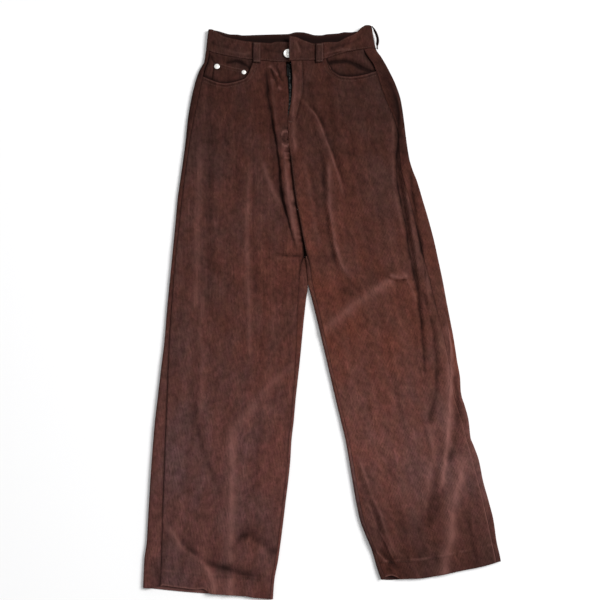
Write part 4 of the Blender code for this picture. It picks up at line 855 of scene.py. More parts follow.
def give_wall(piece, thickness, round_edge):
    """Turns a sheet into cloth with a wall, inwards from its outer face, and rounds the wall's rim."""
    wall = piece.modifiers.new("Wall", "SOLIDIFY")
    wall.thickness = thickness
    wall.offset = -1.0
    wall.use_even_offset = True
    wall.material_offset = len(piece.data.materials) - 1
    rim = piece.modifiers.new("Rim", "BEVEL")
    rim.width = round_edge
    rim.segments = 2
    rim.limit_method = "ANGLE"
    rim.angle_limit = math.radians(60)
    pick(piece)
    for modifier in list(piece.modifiers):
        bpy.ops.object.modifier_apply(modifier=modifier.name)
    smooth_faces(piece)


def sew_in(piece, node):
    """Puts a finished piece in the place of its node, on the garment's body."""
    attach(piece, "trousers")
    if node:
        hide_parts(node)
    return piece


def grain_place(side, x, y):
    """A point's place in the cut of a panel: across the ribs, and along them."""
    slope = (GRAIN_X[side](y + 0.01) - GRAIN_X[side](y - 0.01)) / 0.02
    return np.stack([(x - GRAIN_X[side](y)) / np.sqrt(1 + slope**2), y + 0 * x], axis=-1)


def broken(x):
    """How the shade along the hem's stitches comes and goes, from 0 to 1."""
    return 0.5 + 0.5 * np.sin(x / BROKEN_WAVES[0] + 2.6 * np.sin(x / BROKEN_WAVES[1]))


def near_hem(down):
    """How much of the hem's drawing up reaches a share down, from 0 to 1."""
    return ease((down - HEM_DRAW_FROM) / (1 - HEM_DRAW_FROM))


def hem_shape(x, above):
    """The doubled hem: a little fuller than the leg, and drawn in at its line of stitches."""
    fuller = HEM_FULLER * (1 - ease((above - HEM_DEEP) / 0.004))
    return fuller - HEM_DRAWN_IN * near(above - HEM_DEEP, 0.0020) + pucker(x, above - HEM_DEEP, 0.008, 0.00014)


def front_panel(side, finishes):
    shares = column_shares(FRONT_COLUMNS)
    starts = scoop_start(side, shares)
    down = rows_down(side, starts)
    share = np.broadcast_to(shares, down.shape)
    x, y = front_plan(side, share, down)
    hem_y = HEM_Y[side](share_across(side, x, y))
    z = front_face(side, x, y) + hem_shape(x, y - hem_y)
    y_hem = y + DRAWN_UP[side](share) * near_hem(down)
    cut = grain_place(side, x, y)
    to_outseam = np.abs(x - x[:, :1])
    to_inner = np.abs(x - x[:, -1:])
    gathered = ease((0.290 - y) / 0.040) * ease((y - 0.020) / 0.050)
    from_top = y[:1] - y
    opening = by_pocket(side, x) * (down < down_at(side, LEVEL_Y))
    drawn = 0.5 * gathers(x, y) if side == "right" else 0.0
    # Painted shade along the crisp creases, beside the belt loops, in the crotch seam's scallops, along the outseam,
    # the centre front and the waist seam, in the groove of the hem's stitches and in the dip below the pocket opening.
    shade = crease_shade(side, x, y) + loop_shadow(x, y) - drawn + np.maximum.reduce([
        OUTSEAM_SHADE[side](y) * near(to_outseam, 0.0018),
        (0.25 + 0.75 * gathered) * near(to_inner, 0.0014 + 0.0014 * gathered),
        0.10 * near(from_top, 0.0016) * (1 - opening), 0.4 * broken(x) * near(y - hem_y - HEM_DEEP, 0.0014),
        0.45 * near(from_top - 0.0040, 0.0014) * opening,
    ])
    # Painted highlight on the drawn-up rim of the hem, on the turned rim of the pocket opening, on the lip below the
    # hem's stitches and where the outseam stands up; crease crests and the scallops' crests get it as well.
    rim = 1.4 * DRAWN_UP[side](share) / 0.008 * near(y - hem_y, 0.0020)
    shade = shade - 0.28 * near(from_top - 0.0012, 0.0014) * opening
    shade = shade - 0.5 * (1 - broken(x)) * near(y - hem_y - HEM_DEEP - 0.0026, 0.0014)
    shade = shade - rim + np.minimum(OUTSEAM_SHADE[side](y), 0.0) * near(to_outseam, 0.0018)
    points = np.stack([x, y_hem, z], axis=-1)
    piece = cloth_mesh(f"front_panel_{side}", points, cut, shade, side == "left", finishes)
    give_wall(piece, CLOTH, 0.0004)
    return sew_in(piece, f"front_{side}")


def roll(share, top_reach, floor_reach, high):
    """How far in from the outline, and how high, at a share of the way round a rolled edge from its top."""
    angle = math.pi * share
    reach = np.where(share < 0.5, top_reach, floor_reach)
    return reach * (1 - np.sin(angle)), high / 2 * (1 + np.cos(angle))


def floor_height(side, x, y):
    """Shallow creases of the layer that lies on the floor, which lift off it."""
    inside = np.minimum(np.abs(x - OUTER_EDGE[side](y)), np.abs(x - inner_x(side, y, "back")))
    lift = sum(crease_height(crease, x, y) for crease in FLOOR_CREASES[side])
    return np.clip(lift, 0.0, 0.0009) * ease((inside - 0.004) / 0.012)


def back_panel(side, finishes):
    """A back panel: flat on the floor, and wrapped over both edges of the leg on to the front."""
    inward = INWARD[side]
    down = rows_down(side, np.zeros(1))
    row_y = WAIST_Y - down[:, 0] * (WAIST_Y - HEM_Y[side](1.0))
    wraps = np.arange(WRAP_COLUMNS) / WRAP_COLUMNS
    rolls = np.arange(ROLL_COLUMNS) / ROLL_COLUMNS
    floors = np.arange(FLOOR_COLUMNS) / FLOOR_COLUMNS
    inner_wraps = even_shares(INNER_WRAP_COLUMNS)

    at_hem = near_hem(down)

    def wrap(share):
        y = level(side, 0.0 * share * down, down, "front")
        for _ in range(5):
            edge = OUTER_EDGE[side](y)
            seam = OUTSEAM[side](y) - inward * SEAM_GAP / 2
            length = np.abs(seam - edge) - OUTER_ROLL_TOP
            x = seam - inward * length * share
            y = level(side, share_across(side, x, y), down, "front")
        drawn = DRAWN_UP[side](0.0) * (1 - ease(share / HEM_DRAW_WRAP)) * at_hem
        return x, y + drawn, top_height(side, x, y)

    def outer_roll(share):
        _, top_y, high = wrap(np.ones(1))
        inset, z = roll(share, OUTER_ROLL_TOP, OUTER_ROLL_FLOOR, np.maximum(high, EDGE_LOFT))
        y = mix(top_y, level(side, np.zeros(down.shape), down, "back"), share)
        return OUTER_EDGE[side](y) + inward * inset, y, z

    def formed(y):
        """How far the inner roll has formed below the fork."""
        return ease((FORK_Y - y) / INNER_ROLL_OVER)

    def floor(share):
        y = level(side, share + 0.0 * down, down, "back")
        first = OUTER_EDGE[side](y) + inward * OUTER_ROLL_FLOOR
        last = inner_x(side, y, "back") - inward * INNER_ROLL_FLOOR * formed(y)
        x = mix(first, last, share)
        return x, y, floor_height(side, x, y)

    def inner_roll(share):
        y = level(side, np.ones(down.shape), down, "back") + 0.0 * share
        edge = inner_x(side, y, "back")
        high = np.maximum(top_height(side, edge - inward * INNER_ROLL_TOP, y), EDGE_LOFT)
        inset, z = roll(1 - share, INNER_ROLL_TOP * formed(y), INNER_ROLL_FLOOR * formed(y), high)
        return edge - inward * inset, y, z

    def inner_wrap(share):
        y = level(side, np.ones(down.shape), down, "front") + 0.0 * share
        edge = inner_x(side, y, "front") - inward * INNER_ROLL_TOP * formed(y)
        seam = INSEAM[side](y) + inward * SEAM_GAP / 2
        x = mix(edge, seam, share)
        return x, y + DRAWN_UP[side](1.0) * ease(share) * at_hem, top_height(side, x, y)

    parts = [wrap(wraps), outer_roll(rolls), floor(floors), inner_roll(rolls), inner_wrap(inner_wraps)]
    points = np.concatenate([np.stack(part, axis=-1) for part in parts], axis=1)
    run = run_along(points)
    edge_column = WRAP_COLUMNS + ROLL_COLUMNS // 2
    cut = np.stack([run - run[:, edge_column:edge_column + 1], points[..., 1]], axis=-1)
    on_top = (np.arange(points.shape[1]) < WRAP_COLUMNS)[None, :]
    at_hip = (ease((row_y - 0.180) / 0.100) * ease((0.470 - row_y) / 0.030))[:, None]
    seam_dark = np.maximum(OUTSEAM_SHADE[side](row_y), 0.0)[:, None]
    # Painted shade along the crisp creases of the wrapped edge, with painted highlight on their crests, along the
    # outseam, along the inseam below where it begins, and over the panel at the hip from just past its outseam.
    shade = on_top * crease_shade(side, points[..., 0], points[..., 1]) + np.maximum.reduce([
        seam_dark * near(run, 0.0018), 0.3 * near(run[:, -1:] - run, 0.0014) * (row_y < JUNCTION_Y)[:, None],
        0.45 * at_hip * ease((run - 0.0010) / 0.0040),
    ])
    inner_start = WRAP_COLUMNS + ROLL_COLUMNS + FLOOR_COLUMNS
    inner_top = inner_start + ROLL_COLUMNS
    columns = points.shape[1] - 1
    column = np.arange(columns)[None, :]
    upper_row = row_y[:-1, None]
    keep = (column < inner_start) | ((column < inner_top) & (upper_row <= FORK_Y))
    keep = keep | ((column >= inner_top) & (upper_row <= JUNCTION_Y))
    piece = cloth_mesh(f"back_panel_{side}", points, cut, shade, side == "right", finishes, keep)
    give_wall(piece, CLOTH, 0.0004)
    return sew_in(piece, f"back_{side}")


def band_height(side, x, y, up):
    """The waistband's outer face at a share of the way up from its seam."""
    height = top_height(side, x, y) + BAND_PROUD + BAND_LEAN * up + band_crease(side, x, y)
    height = height + pucker(x, y - FRONT_SEAM_Y(x), 0.006, 0.00022)
    if side == "right":
        height = height - UNDERLAP_DIP * ease((x - UNDERLAP_DIP_FROM) / UNDERLAP_DIP_OVER)
    return height


BAND_CREASES = {
    "right": (
        crease("drag beside the loop", 0.5, 2.4, 2.4, 0.6, (-176, 470), (-160, 466), (-143, 464), (-130, 468)),
        crease("hollow at the side", -0.6, 3, 2.6, 0.6, (-206, 490), (-196, 482), (-184, 478), (-170, 477)),
        crease("dip towards the button", -0.5, 2.6, 2.6, 0.5, (-108, 476), (-96, 470), (-84, 468), (-72, 470)),
    ),
    "left": (
        crease("drag from the loop", 0.7, 2.6, 2.4, 0.7, (2, 461), (15, 465.5), (27, 469), (43, 471.5),
            (59, 473)),
        crease("shade under that drag", -0.6, 2.6, 2.6, 0.7, (8, 459), (23, 464), (38, 467.2), (54, 469)),
        crease("hollow above that drag", -0.6, 3.4, 3, 0.6, (13, 474), (30, 478), (48, 483), (64, 490),
            (76, 498)),
        crease("slack beside the button", -0.5, 2.4, 2.4, 0.5, (-44, 489), (-37, 476), (-34, 462)),
        crease("slack crest", 0.5, 2.4, 2.4, 0.5, (-48, 488), (-43, 476), (-40, 464)),
    ),
}


def band_crease(side, x, y):
    return sum(crease_height(crease, x, y) for crease in BAND_CREASES[side])


def band_shade(points):
    """Painted shade in the creases of the band's front and painted highlight on their crests; painted shade close
    beside the belt loops and on the end under the tab.
    """
    x, y, z = points[..., 0], points[..., 1], points[..., 2]
    in_front = z > 0.004
    creased = sum(band_crease(side, x, y) for side in SIDES)
    under_tab = ease((x - UNDERLAP_DARK_FROM) / 0.006) * ease((TAB_X - x) / 0.002)
    return in_front * (np.clip(-BAND_SHADE * creased, -0.5, 0.8) + loop_shadow(x, y) + 0.20 * under_tab)


def band_front_points(side, x, up):
    y = mix(FRONT_SEAM_Y(x) + SEAM_GAP / 2, FRONT_TOP_Y[side](x), up)
    return np.stack([x, y, band_height(side, x, y, up)], axis=-1)


def waistband(finishes):
    """One strip from the end that carries the button, round the back, to the tab that lies over it."""
    rows, run_columns, back_columns = 18, 90, 110
    up = (1 - even_shares(rows))[:, None]
    side_y = mix(*BAND_SIDE, up)
    corner = {side: OUTER_EDGE[side](side_y) for side in SIDES}
    share = (np.arange(run_columns) / run_columns)[None, :]
    turn = (np.arange(ROLL_COLUMNS) / ROLL_COLUMNS)[None, :]

    def corner_points(side, turned):
        inward = INWARD[side]
        front = band_front_points(side, corner[side] + inward * OUTER_ROLL_TOP, up)
        back_y = mix(BACK_SEAM_Y(corner[side]) + SEAM_GAP / 2, BACK_TOP_Y(corner[side]), up)
        inset, z = roll(turned, OUTER_ROLL_TOP, OUTER_ROLL_TOP, front[..., 2])
        return np.stack([corner[side] + inward * inset, mix(front[..., 1], back_y, turned), z], axis=-1)

    start = corner["right"] + OUTER_ROLL_TOP
    end = corner["left"] - OUTER_ROLL_TOP
    right_x = mix(UNDERLAP_X, start, share)
    back_x = mix(start, end, (np.arange(back_columns) / back_columns)[None, :])
    back_y = mix(BACK_SEAM_Y(back_x) + SEAM_GAP / 2, BACK_TOP_Y(back_x), up)
    tab_share = even_shares(run_columns)[None, :]
    left_x = mix(end, TAB_X, tab_share)
    points = np.concatenate([
        band_front_points("right", right_x, up + 0 * right_x),
        corner_points("right", turn),
        np.stack([back_x, back_y, 0 * back_x], axis=-1),
        corner_points("left", 1 - turn),
        band_front_points("left", left_x, up + 0 * left_x),
    ], axis=1)
    run = run_along(points[rows // 2])
    cut = np.stack([run + 0 * up, BAND_DEEP * up + 0 * run], axis=-1)
    # Painted shade along the band's seam, added to that of the band's creases, loops and underlap.
    shade = 0.12 * near(BAND_DEEP * up, 0.0014) + 0 * run + band_shade(points)
    piece = cloth_mesh("waistband_strip", points, cut, shade, True, finishes)
    give_wall(piece, BAND_CLOTH, 0.0004)
    return sew_in(piece, "waistband")


def loop_face(loop, x, y, up, share, across):
    """A front belt loop's outer face, a share down its length and a share across from its middle."""
    hump = LOOP_HUMP * np.sin(math.pi * share)
    crown = 0.0003 * (1 - (2 * np.abs(across)) ** 4)
    return band_height(loop.side, x, y, up) + SEAM_GAP + STRAP_CLOTH + hump + crown - 0.0003


def front_loop(loop, finishes):
    """A belt loop lying down the front of the waistband, with both ends sewn."""
    columns, rows = 12, 36
    share = even_shares(rows)[:, None]
    across = (even_shares(columns) - 0.5)[None, :]
    x = loop.x + across * LOOP_WIDE + 0 * share
    seam, top = FRONT_SEAM_Y(x), FRONT_TOP_Y[loop.side](x)
    y = mix(top - LOOP_BELOW_TOP, seam - LOOP_BELOW_SEAM, share)
    up = np.maximum((y - seam) / (top - seam), 0.0)
    z = loop_face(loop, x, y, up, share, across)
    cut = np.stack([x, y], axis=-1)
    # Painted shade at both ends, along two lines down the loop and down its side towards -X, away from the light;
    # painted highlight near its edge towards +X.
    shade = 0.3 * near(np.minimum(share, 1 - share), 0.04) + 0.25 * near(np.abs(across) - 0.22, 0.05)
    shade = shade + 0.5 * ease((-0.30 - across) / 0.16) - 0.35 * near(across - 0.40, 0.07)
    piece = cloth_mesh(loop.name, np.stack([x, y, z], axis=-1), cut, shade + 0 * x, False, finishes)
    give_wall(piece, STRAP_CLOTH, 0.0006)
    return sew_in(piece, loop.node)


def side_loop(finishes):
    """The belt loop at the left side, which stands on its edge and bows away from the band."""
    columns, rows = 36, 10
    outer = smooth_line(SIDE_LOOP, "y", "x")
    share = even_shares(columns)[None, :]
    down = even_shares(rows)[:, None]
    y = mix(SIDE_LOOP[0].y, SIDE_LOOP[-1].y, share) + 0 * down
    z = mix(SIDE_LOOP_HIGH, SIDE_LOOP_FOOT, down) + 0 * share
    at_end = near(np.minimum(share, 1 - share), 0.12)
    room = np.maximum(outer(y) - STRAP_CLOTH - SEAM_GAP - OUTER_EDGE["left"](y), 0.0)
    lean = down * np.minimum(SIDE_LOOP_LEAN + SIDE_LOOP_SPREAD * share**2.5, room)
    lean = lean + SIDE_LOOP_TUCK * (1 - down) * at_end
    points = np.stack([outer(y) - lean, y, z], axis=-1)
    cut = np.stack([z, y], axis=-1)
    # Painted shade over the whole loop.
    shade = 0.8 + 0 * z
    piece = cloth_mesh("belt_loop_side_left", points, cut, shade, False, finishes)
    give_wall(piece, STRAP_CLOTH, 0.0006)
    return sew_in(piece, "loop_side_left")


def bearer_face(side, x, y):
    """The bearer's outer face: level with the panel at the waist seam, then down inside the pocket."""
    sunk = mix(0.0002, BEARER_DEPTH[side], ease((FRONT_SEAM_Y(x) - y) / 0.012))
    return top_height(side, x, y) - sunk + bearer_crease(side, x, y)


def pocket_bearer(side, finishes):
    """The cloth seen inside a pocket opening, sewn to the waist seam and to the outseam."""
    columns, rows = 56, 44
    share = even_shares(columns)[None, :]
    below = even_shares(rows)[:, None]
    y = np.full((rows + 1, columns + 1), WAIST_Y)
    for _ in range(6):
        x = mix(OUTSEAM[side](y) + INWARD[side] * BEARER_INSET, BEARER_INNER[side], share)
        y = mix(FRONT_SEAM_Y(x) - SEAM_GAP, BEARER_FLOOR[side], below)
    z = bearer_face(side, x, y)
    cut = np.stack([x, y], axis=-1)
    above_edge = np.maximum(y - SCOOP_Y[side](x), 0.0)
    corner = ease((FRONT_SEAM_Y(x) - y) / 0.010)
    inner = np.abs(x - np.interp(y, *scoop_inner_side(side)))
    # Painted shadow under the front's edge inside the opening and in the sags, and painted shade along the outseam side
    # and the opening's steep inner side, below the waist seam.
    shade = np.maximum(1.3 * near(above_edge, 0.0075), bearer_shade(side, x, y))
    shade = np.maximum.reduce([shade, 0.8 * near(x - x[:, :1], 0.0036) * corner, 0.7 * near(inner, 0.0042) * corner])
    piece = cloth_mesh(f"pocket_cloth_{side}", np.stack([x, y, z], axis=-1), cut, shade, side == "left", finishes)
    give_wall(piece, LINING_CLOTH, 0.0003)
    return sew_in(piece, f"pocket_bearer_{side}")


def scoop_inner_side(side):
    """The steep inner side of a pocket opening, as heights and the x at each."""
    x = np.linspace(SCOOP[side][-1].x, SCOOP[side][-5].x, 40)
    return SCOOP_Y[side](x)[::-1], x[::-1]


BEARER_CREASES = {
    "right": (
        crease("sag over the coin pocket", -0.9, 3, 2.6, 0.4, (-181, 447), (-171.8, 448.6), (-158.7, 450.6),
            (-147.5, 447.6), (-136.2, 439.7), (-129, 431)),
        crease("ridge over that sag", 0.8, 3, 3, 0.3, (-196, 452), (-185, 452.6), (-171.9, 455.5),
            (-156.9, 456.5), (-143.8, 452.6), (-132.5, 445.6)),
        crease("drag above the rivet", -0.7, 1.8, 1.8, 0.6, (-205, 462), (-203.7, 457.5), (-201.8, 451.6),
            (-196.1, 444)),
    ),
    "left": (
        crease("sag in the opening", -1.4, 4.2, 3.2, 0.5, (8, 444), (15, 447), (26.5, 449.2), (45.2, 450.6),
            (58.3, 448.2), (73.1, 440.2), (88, 431.8), (102.9, 426.8), (115, 425)),
        crease("ridge over that sag", 1.2, 3.6, 3.6, 0.3, (8, 450), (17, 453.4), (30.3, 455.9), (49, 457.7),
            (65.8, 453.6), (80.7, 446.6), (93, 439)),
    ),
}


def bearer_crease(side, x, y):
    return sum(crease_height(crease, x, y) for crease in BEARER_CREASES[side])


def bearer_shade(side, x, y):
    sags = [crease for crease in BEARER_CREASES[side] if crease.high < 0]
    return sum(POCKET_SHADE * np.abs(crease_height(sag, x, y)) for sag in sags)


def coin_face(x, y):
    """The coin pocket's outer face, which stands a little fuller along its opening."""
    lies = top_height("right", x, y) - BEARER_DEPTH["right"] + SEAM_GAP + LINING_CLOTH
    return lies + 0.0003 * near(COIN_TOP_Y(x) - y, 0.0070)


def coin_pocket(finishes):
    """The small pocket on the right bearer, with its lower edge hidden inside the main pocket."""
    columns, rows = 40, 30
    share = even_shares(columns)[None, :]
    below = even_shares(rows)[:, None]
    top_x = mix(COIN_TOP[0].x, COIN_TOP[-1].x, share)
    floor_x = mix(COIN_LOWER_X, COIN_TOP[-1].x, share)
    y = mix(COIN_TOP_Y(top_x), COIN_FLOOR, below)
    x = mix(top_x, floor_x, below)
    z = coin_face(x, y)
    cut = np.stack([x, y], axis=-1)
    above_edge = np.maximum(y - SCOOP_Y["right"](x), 0.0)
    # Painted shadow under the front's edge and along the pocket's outer side, and painted highlight just below its top
    # edge.
    shade = np.maximum(1.1 * near(above_edge, 0.0055), 0.8 * near((x - x[:, :1]), 0.0022))
    shade = shade - 0.35 * near(below * (y[:1] - COIN_FLOOR) - 0.0012, 0.0012)
    piece = cloth_mesh("coin_pocket_cloth", np.stack([x, y, z], axis=-1), cut, shade, False, finishes)
    give_wall(piece, LINING_CLOTH, 0.0004)
    return sew_in(piece, "coin_pocket")


def tape_height(x, y):
    """The tape's face, just under both fronts."""
    lowest = np.minimum(top_height("right", x, y), top_height("left", x, y))
    return np.minimum(plain_height(y), lowest) - CLOTH - SEAM_GAP


def slit_middle(y):
    return (INNER_EDGE["right"](y) + INNER_EDGE["left"](y)) / 2


def zip_tape(finishes):
    """The black tape behind the fly."""
    columns, rows = 16, 60
    share = even_shares(columns)[None, :]
    y = mix(*TAPE_ENDS, even_shares(rows)[:, None]) + 0 * share
    x = slit_middle(y) + (share - 0.5) * TAPE_WIDE
    points = np.stack([x, y, tape_height(x, y)], axis=-1)
    cut = np.stack([(share - 0.5) * TAPE_WIDE + 0 * y, y], axis=-1)
    piece = cloth_mesh("zip_tape_cloth", points, cut, 0 * y, False, finishes)
    give_wall(piece, TAPE_CLOTH, 0.0002)
    return sew_in(piece, "zip_tape")


# ---- Button and rivets ----

ROUND = 48                # points round a turned piece


def turned(name, node, rings, radius, place, finish):
    """A round metal piece, ring by ring from its foot up and over to its middle."""
    angle = 2 * math.pi * np.arange(ROUND) / ROUND
    circle = radius * np.stack([np.cos(angle), np.sin(angle), 0 * angle], axis=1)
    points = np.concatenate([ring.share * circle + (0, 0, ring.z) for ring in rings]) + place
    here = np.arange(ROUND)
    after = np.roll(here, -1)
    side = np.stack([here, after, after + ROUND, here + ROUND], axis=1)
    last = len(rings) - 1
    faces = [here[::-1].tolist()]
    for i in range(last):
        faces += (side + ROUND * i).tolist()
    faces.append((here + ROUND * last).tolist())
    mesh = bpy.data.meshes.new(name)
    mesh.from_pydata(points.tolist(), [], faces)
    mesh.materials.append(finish)
    piece = placed(name, mesh)
    smooth_faces(piece, 50)
    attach(piece, "trousers")
    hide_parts(node)


def hardware(silver):
    turned("jeans_button", "button", BUTTON_RINGS, BUTTON_RADIUS, BUTTON_AT, silver)
    for rivet in RIVETS:
        turned(rivet.name, rivet.node, RIVET_RINGS, rivet.radius, (rivet.x, rivet.y, RIVET_FOOT), silver)


# ---- Sewing and teeth, each shape made once and laid out in rows ----

BEAD = 6                  # points round a stitch


def shape_of(piece):
    """A small piece's points and faces as arrays; the piece itself is cleared away."""
    points = np.empty(len(piece.data.vertices) * 3)
    piece.data.vertices.foreach_get("co", points)
    faces = [list(face.vertices) for face in piece.data.polygons]
    bpy.data.objects.remove(piece)
    return points.reshape(-1, 3), faces


def stitch_shape(stitch):
    """One stitch: a bead of thread drawn out along X, with its ends going down into the cloth."""
    radius, drawn = stitch.thick / 2, (stitch.long - stitch.thick) / 2
    sunk = 0.3 * stitch.thick
    slant = radius * math.sqrt(0.5)
    angle = 2 * math.pi * np.arange(BEAD) / BEAD
    circle = np.stack([0 * angle, np.cos(angle), np.sin(angle)], axis=1)
    points = np.concatenate([
        slant * circle - (slant + drawn, 0, sunk), radius * circle, slant * circle + (slant + drawn, 0, -sunk),
        [[-radius - drawn, 0, -sunk], [radius + drawn, 0, -sunk]],
    ])
    first_end, last_end = 3 * BEAD, 3 * BEAD + 1
    faces = []
    for i in range(BEAD):
        j = (i + 1) % BEAD
        faces += [[first_end, j, i], [last_end, 2 * BEAD + i, 2 * BEAD + j]]
        faces += [[ring + i, ring + j, ring + BEAD + j, ring + BEAD + i] for ring in (0, BEAD)]
    return points, faces


def tooth_shape():
    """One zip tooth: a small block with rounded edges."""
    bpy.ops.object.select_all(action="DESELECT")
    bpy.ops.mesh.primitive_cube_add(size=1.0)
    piece = bpy.context.object
    bpy.ops.object.mode_set(mode="EDIT")
    bpy.ops.mesh.select_all(action="SELECT")
    bpy.ops.transform.resize(value=TOOTH)
    bpy.ops.mesh.bevel(offset=0.00022, segments=1, affect="EDGES")
    bpy.ops.object.mode_set(mode="OBJECT")
    return shape_of(piece)


def lay_out(name, shape, places, along, finish, outwards=1.0):
    """Copies a shape to every place, turned so that its X follows the row, joined into one piece.

    Its Z points outwards from the cloth: up, or down where outwards is -1.
    """
    points, faces = shape
    along = along / np.linalg.norm(along, axis=1, keepdims=True)
    across = np.cross([0.0, 0.0, 1.0], along)
    across = across / np.linalg.norm(across, axis=1, keepdims=True)
    upwards = np.cross(along, across)
    turn = np.stack([along, outwards * across, outwards * upwards], axis=1)
    laid = places[:, None, :] + np.einsum("pk,nkc->npc", points, turn)
    count = len(points)
    every = [[corner + count * i for corner in face] for i in range(len(places)) for face in faces]
    mesh = bpy.data.meshes.new(name)
    mesh.from_pydata(laid.reshape(-1, 3).tolist(), [], every)
    mesh.materials.append(finish)
    made = placed(name, mesh)
    smooth_faces(made, 60)
    return sew_in(made, None)


def stitched(route, stitch):
    """Middles and directions of a row of stitches along a route."""
    run = run_along(route)
    starts = np.arange(0.0, run[-1] - stitch.long, stitch.long + stitch.apart)
    first, last = (
        np.stack([np.interp(starts + ahead, run, route[:, axis]) for axis in range(3)], axis=1)
        for ahead in (0.0, stitch.long)
    )
    return (first + last) / 2, last - first


def bar_tack(start, end, face, count):
    """A close row of short stitches set across its length."""
    share = (np.arange(count) / (count - 1))[:, None]
    places = mix(np.array(start), np.array(end), share)
    run = np.array(end) - np.array(start)
    aside = np.array([-run[1], run[0]]) / np.hypot(*run)
    return on_face(places, face), np.broadcast_to([*aside, 0.0], (count, 3))


def on_face(route, face):
    return np.column_stack([route, face(route[:, 0], route[:, 1])])


def beside(route, away):
    """A route moved sideways: to its right-hand side where away is more than 0."""
    ahead = np.gradient(route, axis=0)
    ahead = ahead / np.linalg.norm(ahead, axis=1, keepdims=True)
    return route + away * np.stack([ahead[:, 1], -ahead[:, 0]], axis=1)


def straight(x, y):
    """A route through matching x and y, either of which may be a single number."""
    return np.stack(np.broadcast_arrays(x, y), axis=1).astype(float)


def hem_route(side):
    """The hem's line of stitches on the front panel, as places on the cloth before and after it is drawn up."""
    share = np.linspace(*HEM_ROW, 300)
    down = np.full(share.shape, 0.97)
    for _ in range(4):
        x, y = front_plan(side, share, down)
        across = share_across(side, x, y)
        down = 1 - HEM_DEEP / (WAIST_Y - HEM_Y[side](across))
    z = front_face(side, x, y) + hem_shape(x, y - HEM_Y[side](across))
    return np.column_stack([x, y + DRAWN_UP[side](share) * near_hem(down), z])


def front_rows(side):
    """Rows of stitches on a front panel and on the wrapped edge beside it."""
    x = np.linspace(SCOOP[side][0].x, SCOOP[side][-1].x, 900)
    scoop = straight(x, SCOOP_Y[side](x))
    rows = [hem_route(side)]
    for away in SCOOP_ROWS:
        row = beside(scoop, INWARD[side] * away)
        kept = (INWARD[side] * (row[:, 0] - OUTSEAM[side](row[:, 1])) > 0.003)
        kept = kept & (row[:, 1] < FRONT_SEAM_Y(row[:, 0]) - 0.003)
        rows.append(on_face(row[kept], lambda x, y: front_face(side, x, y)))
    if side == "left":
        rows.append(on_face(rounded_route(FLY_ROW), lambda x, y: front_face(side, x, y)))
        y = np.linspace(FLY_FOOT - 0.004, JUNCTION_Y + 0.006, 200)
        x = INNER_EDGE[side](y) + CENTRE_ROW
        rows.append(on_face(straight(x, y), lambda x, y: front_face(side, x, y)))
    return rows


def band_rows():
    """Rows of stitches along both edges of the waistband, front and back, and down the end of its tab."""
    rows = []
    for side, end in (("right", UNDERLAP_X - 0.006), ("left", TAB_X + BAND_ROW_IN)):
        corner = OUTER_EDGE[side](BAND_MIDDLE_Y) + INWARD[side] * 0.0062
        x = np.linspace(corner, end, 300)
        seam, top = FRONT_SEAM_Y(x), FRONT_TOP_Y[side](x)
        for y in (seam + BAND_ROW_IN, top - BAND_ROW_IN):
            rows.append(np.column_stack([x, y, band_height(side, x, y, (y - seam) / (top - seam))]))
    y = np.linspace(FRONT_SEAM_Y(end) + BAND_ROW_IN, FRONT_TOP_Y["left"](end) - BAND_ROW_IN, 40)
    up = (y - y[0]) / (y[-1] - y[0])
    rows.append(np.column_stack([end + 0 * y, y, band_height("left", end + 0 * y, y, up)]))
    x = band_back_x()
    rows.append(np.column_stack([x, BACK_TOP_Y(x) - BAND_ROW_IN, BAND_CLOTH + 0 * x]))
    return rows


def band_back_x():
    return np.linspace(OUTER_EDGE["right"](BAND_MIDDLE_Y) + 0.008, OUTER_EDGE["left"](BAND_MIDDLE_Y) - 0.008, 400)


def band_floor_rows():
    x = band_back_x()
    return [np.column_stack([x, y, FLOOR_ROW_Z + 0 * x])
            for y in (BACK_SEAM_Y(x) + BAND_ROW_IN, BACK_TOP_Y(x) - BAND_ROW_IN)]


def floor_rows(side):
    """Rows of stitches on the layer that lies on the floor: its hem and, on the left, the centre back."""
    across = np.linspace(0.03, 0.97, 200)
    y = HEM_Y[side](across) + HEM_DEEP
    x = mix(OUTER_EDGE[side](y), inner_x(side, y, "front"), across)
    rows = [np.column_stack([x, y, FLOOR_ROW_Z + 0 * x])]
    if side == "left":
        y = np.linspace(WAIST_Y - 0.030, FORK_Y + 0.012, 300)
        rows.append(np.column_stack([CENTRE_BACK_X(y) + CENTRE_ROW, y, FLOOR_ROW_Z + 0 * y]))
    return rows


def sew_rows(name, rows, thread, tacks=(), outwards=1.0):
    laid = [stitched(row, TOPSTITCH) for row in rows] + list(tacks)
    places = np.concatenate([places for places, _ in laid])
    along = np.concatenate([along for _, along in laid])
    return lay_out(name, stitch_shape(TOPSTITCH), places, along, thread, outwards)


def loop_tacks(loop):
    """The close stitches across both ends of a front belt loop."""
    def face(x, y):
        seam, top = FRONT_SEAM_Y(x), FRONT_TOP_Y[loop.side](x)
        share = (top - LOOP_BELOW_TOP - y) / (top - LOOP_BELOW_TOP - seam + LOOP_BELOW_SEAM)
        up = np.maximum((y - seam) / (top - seam), 0.0)
        return loop_face(loop, x, y, up, share, np.zeros(np.shape(x)))

    inset = LOOP_WIDE / 2 - 0.0022
    top = FRONT_TOP_Y[loop.side](loop.x) - LOOP_BELOW_TOP
    foot = FRONT_SEAM_Y(loop.x) - LOOP_BELOW_SEAM
    return [bar_tack((loop.x - inset, y), (loop.x + inset, y), face, 11) for y in (top - 0.0030, foot + 0.0030)]


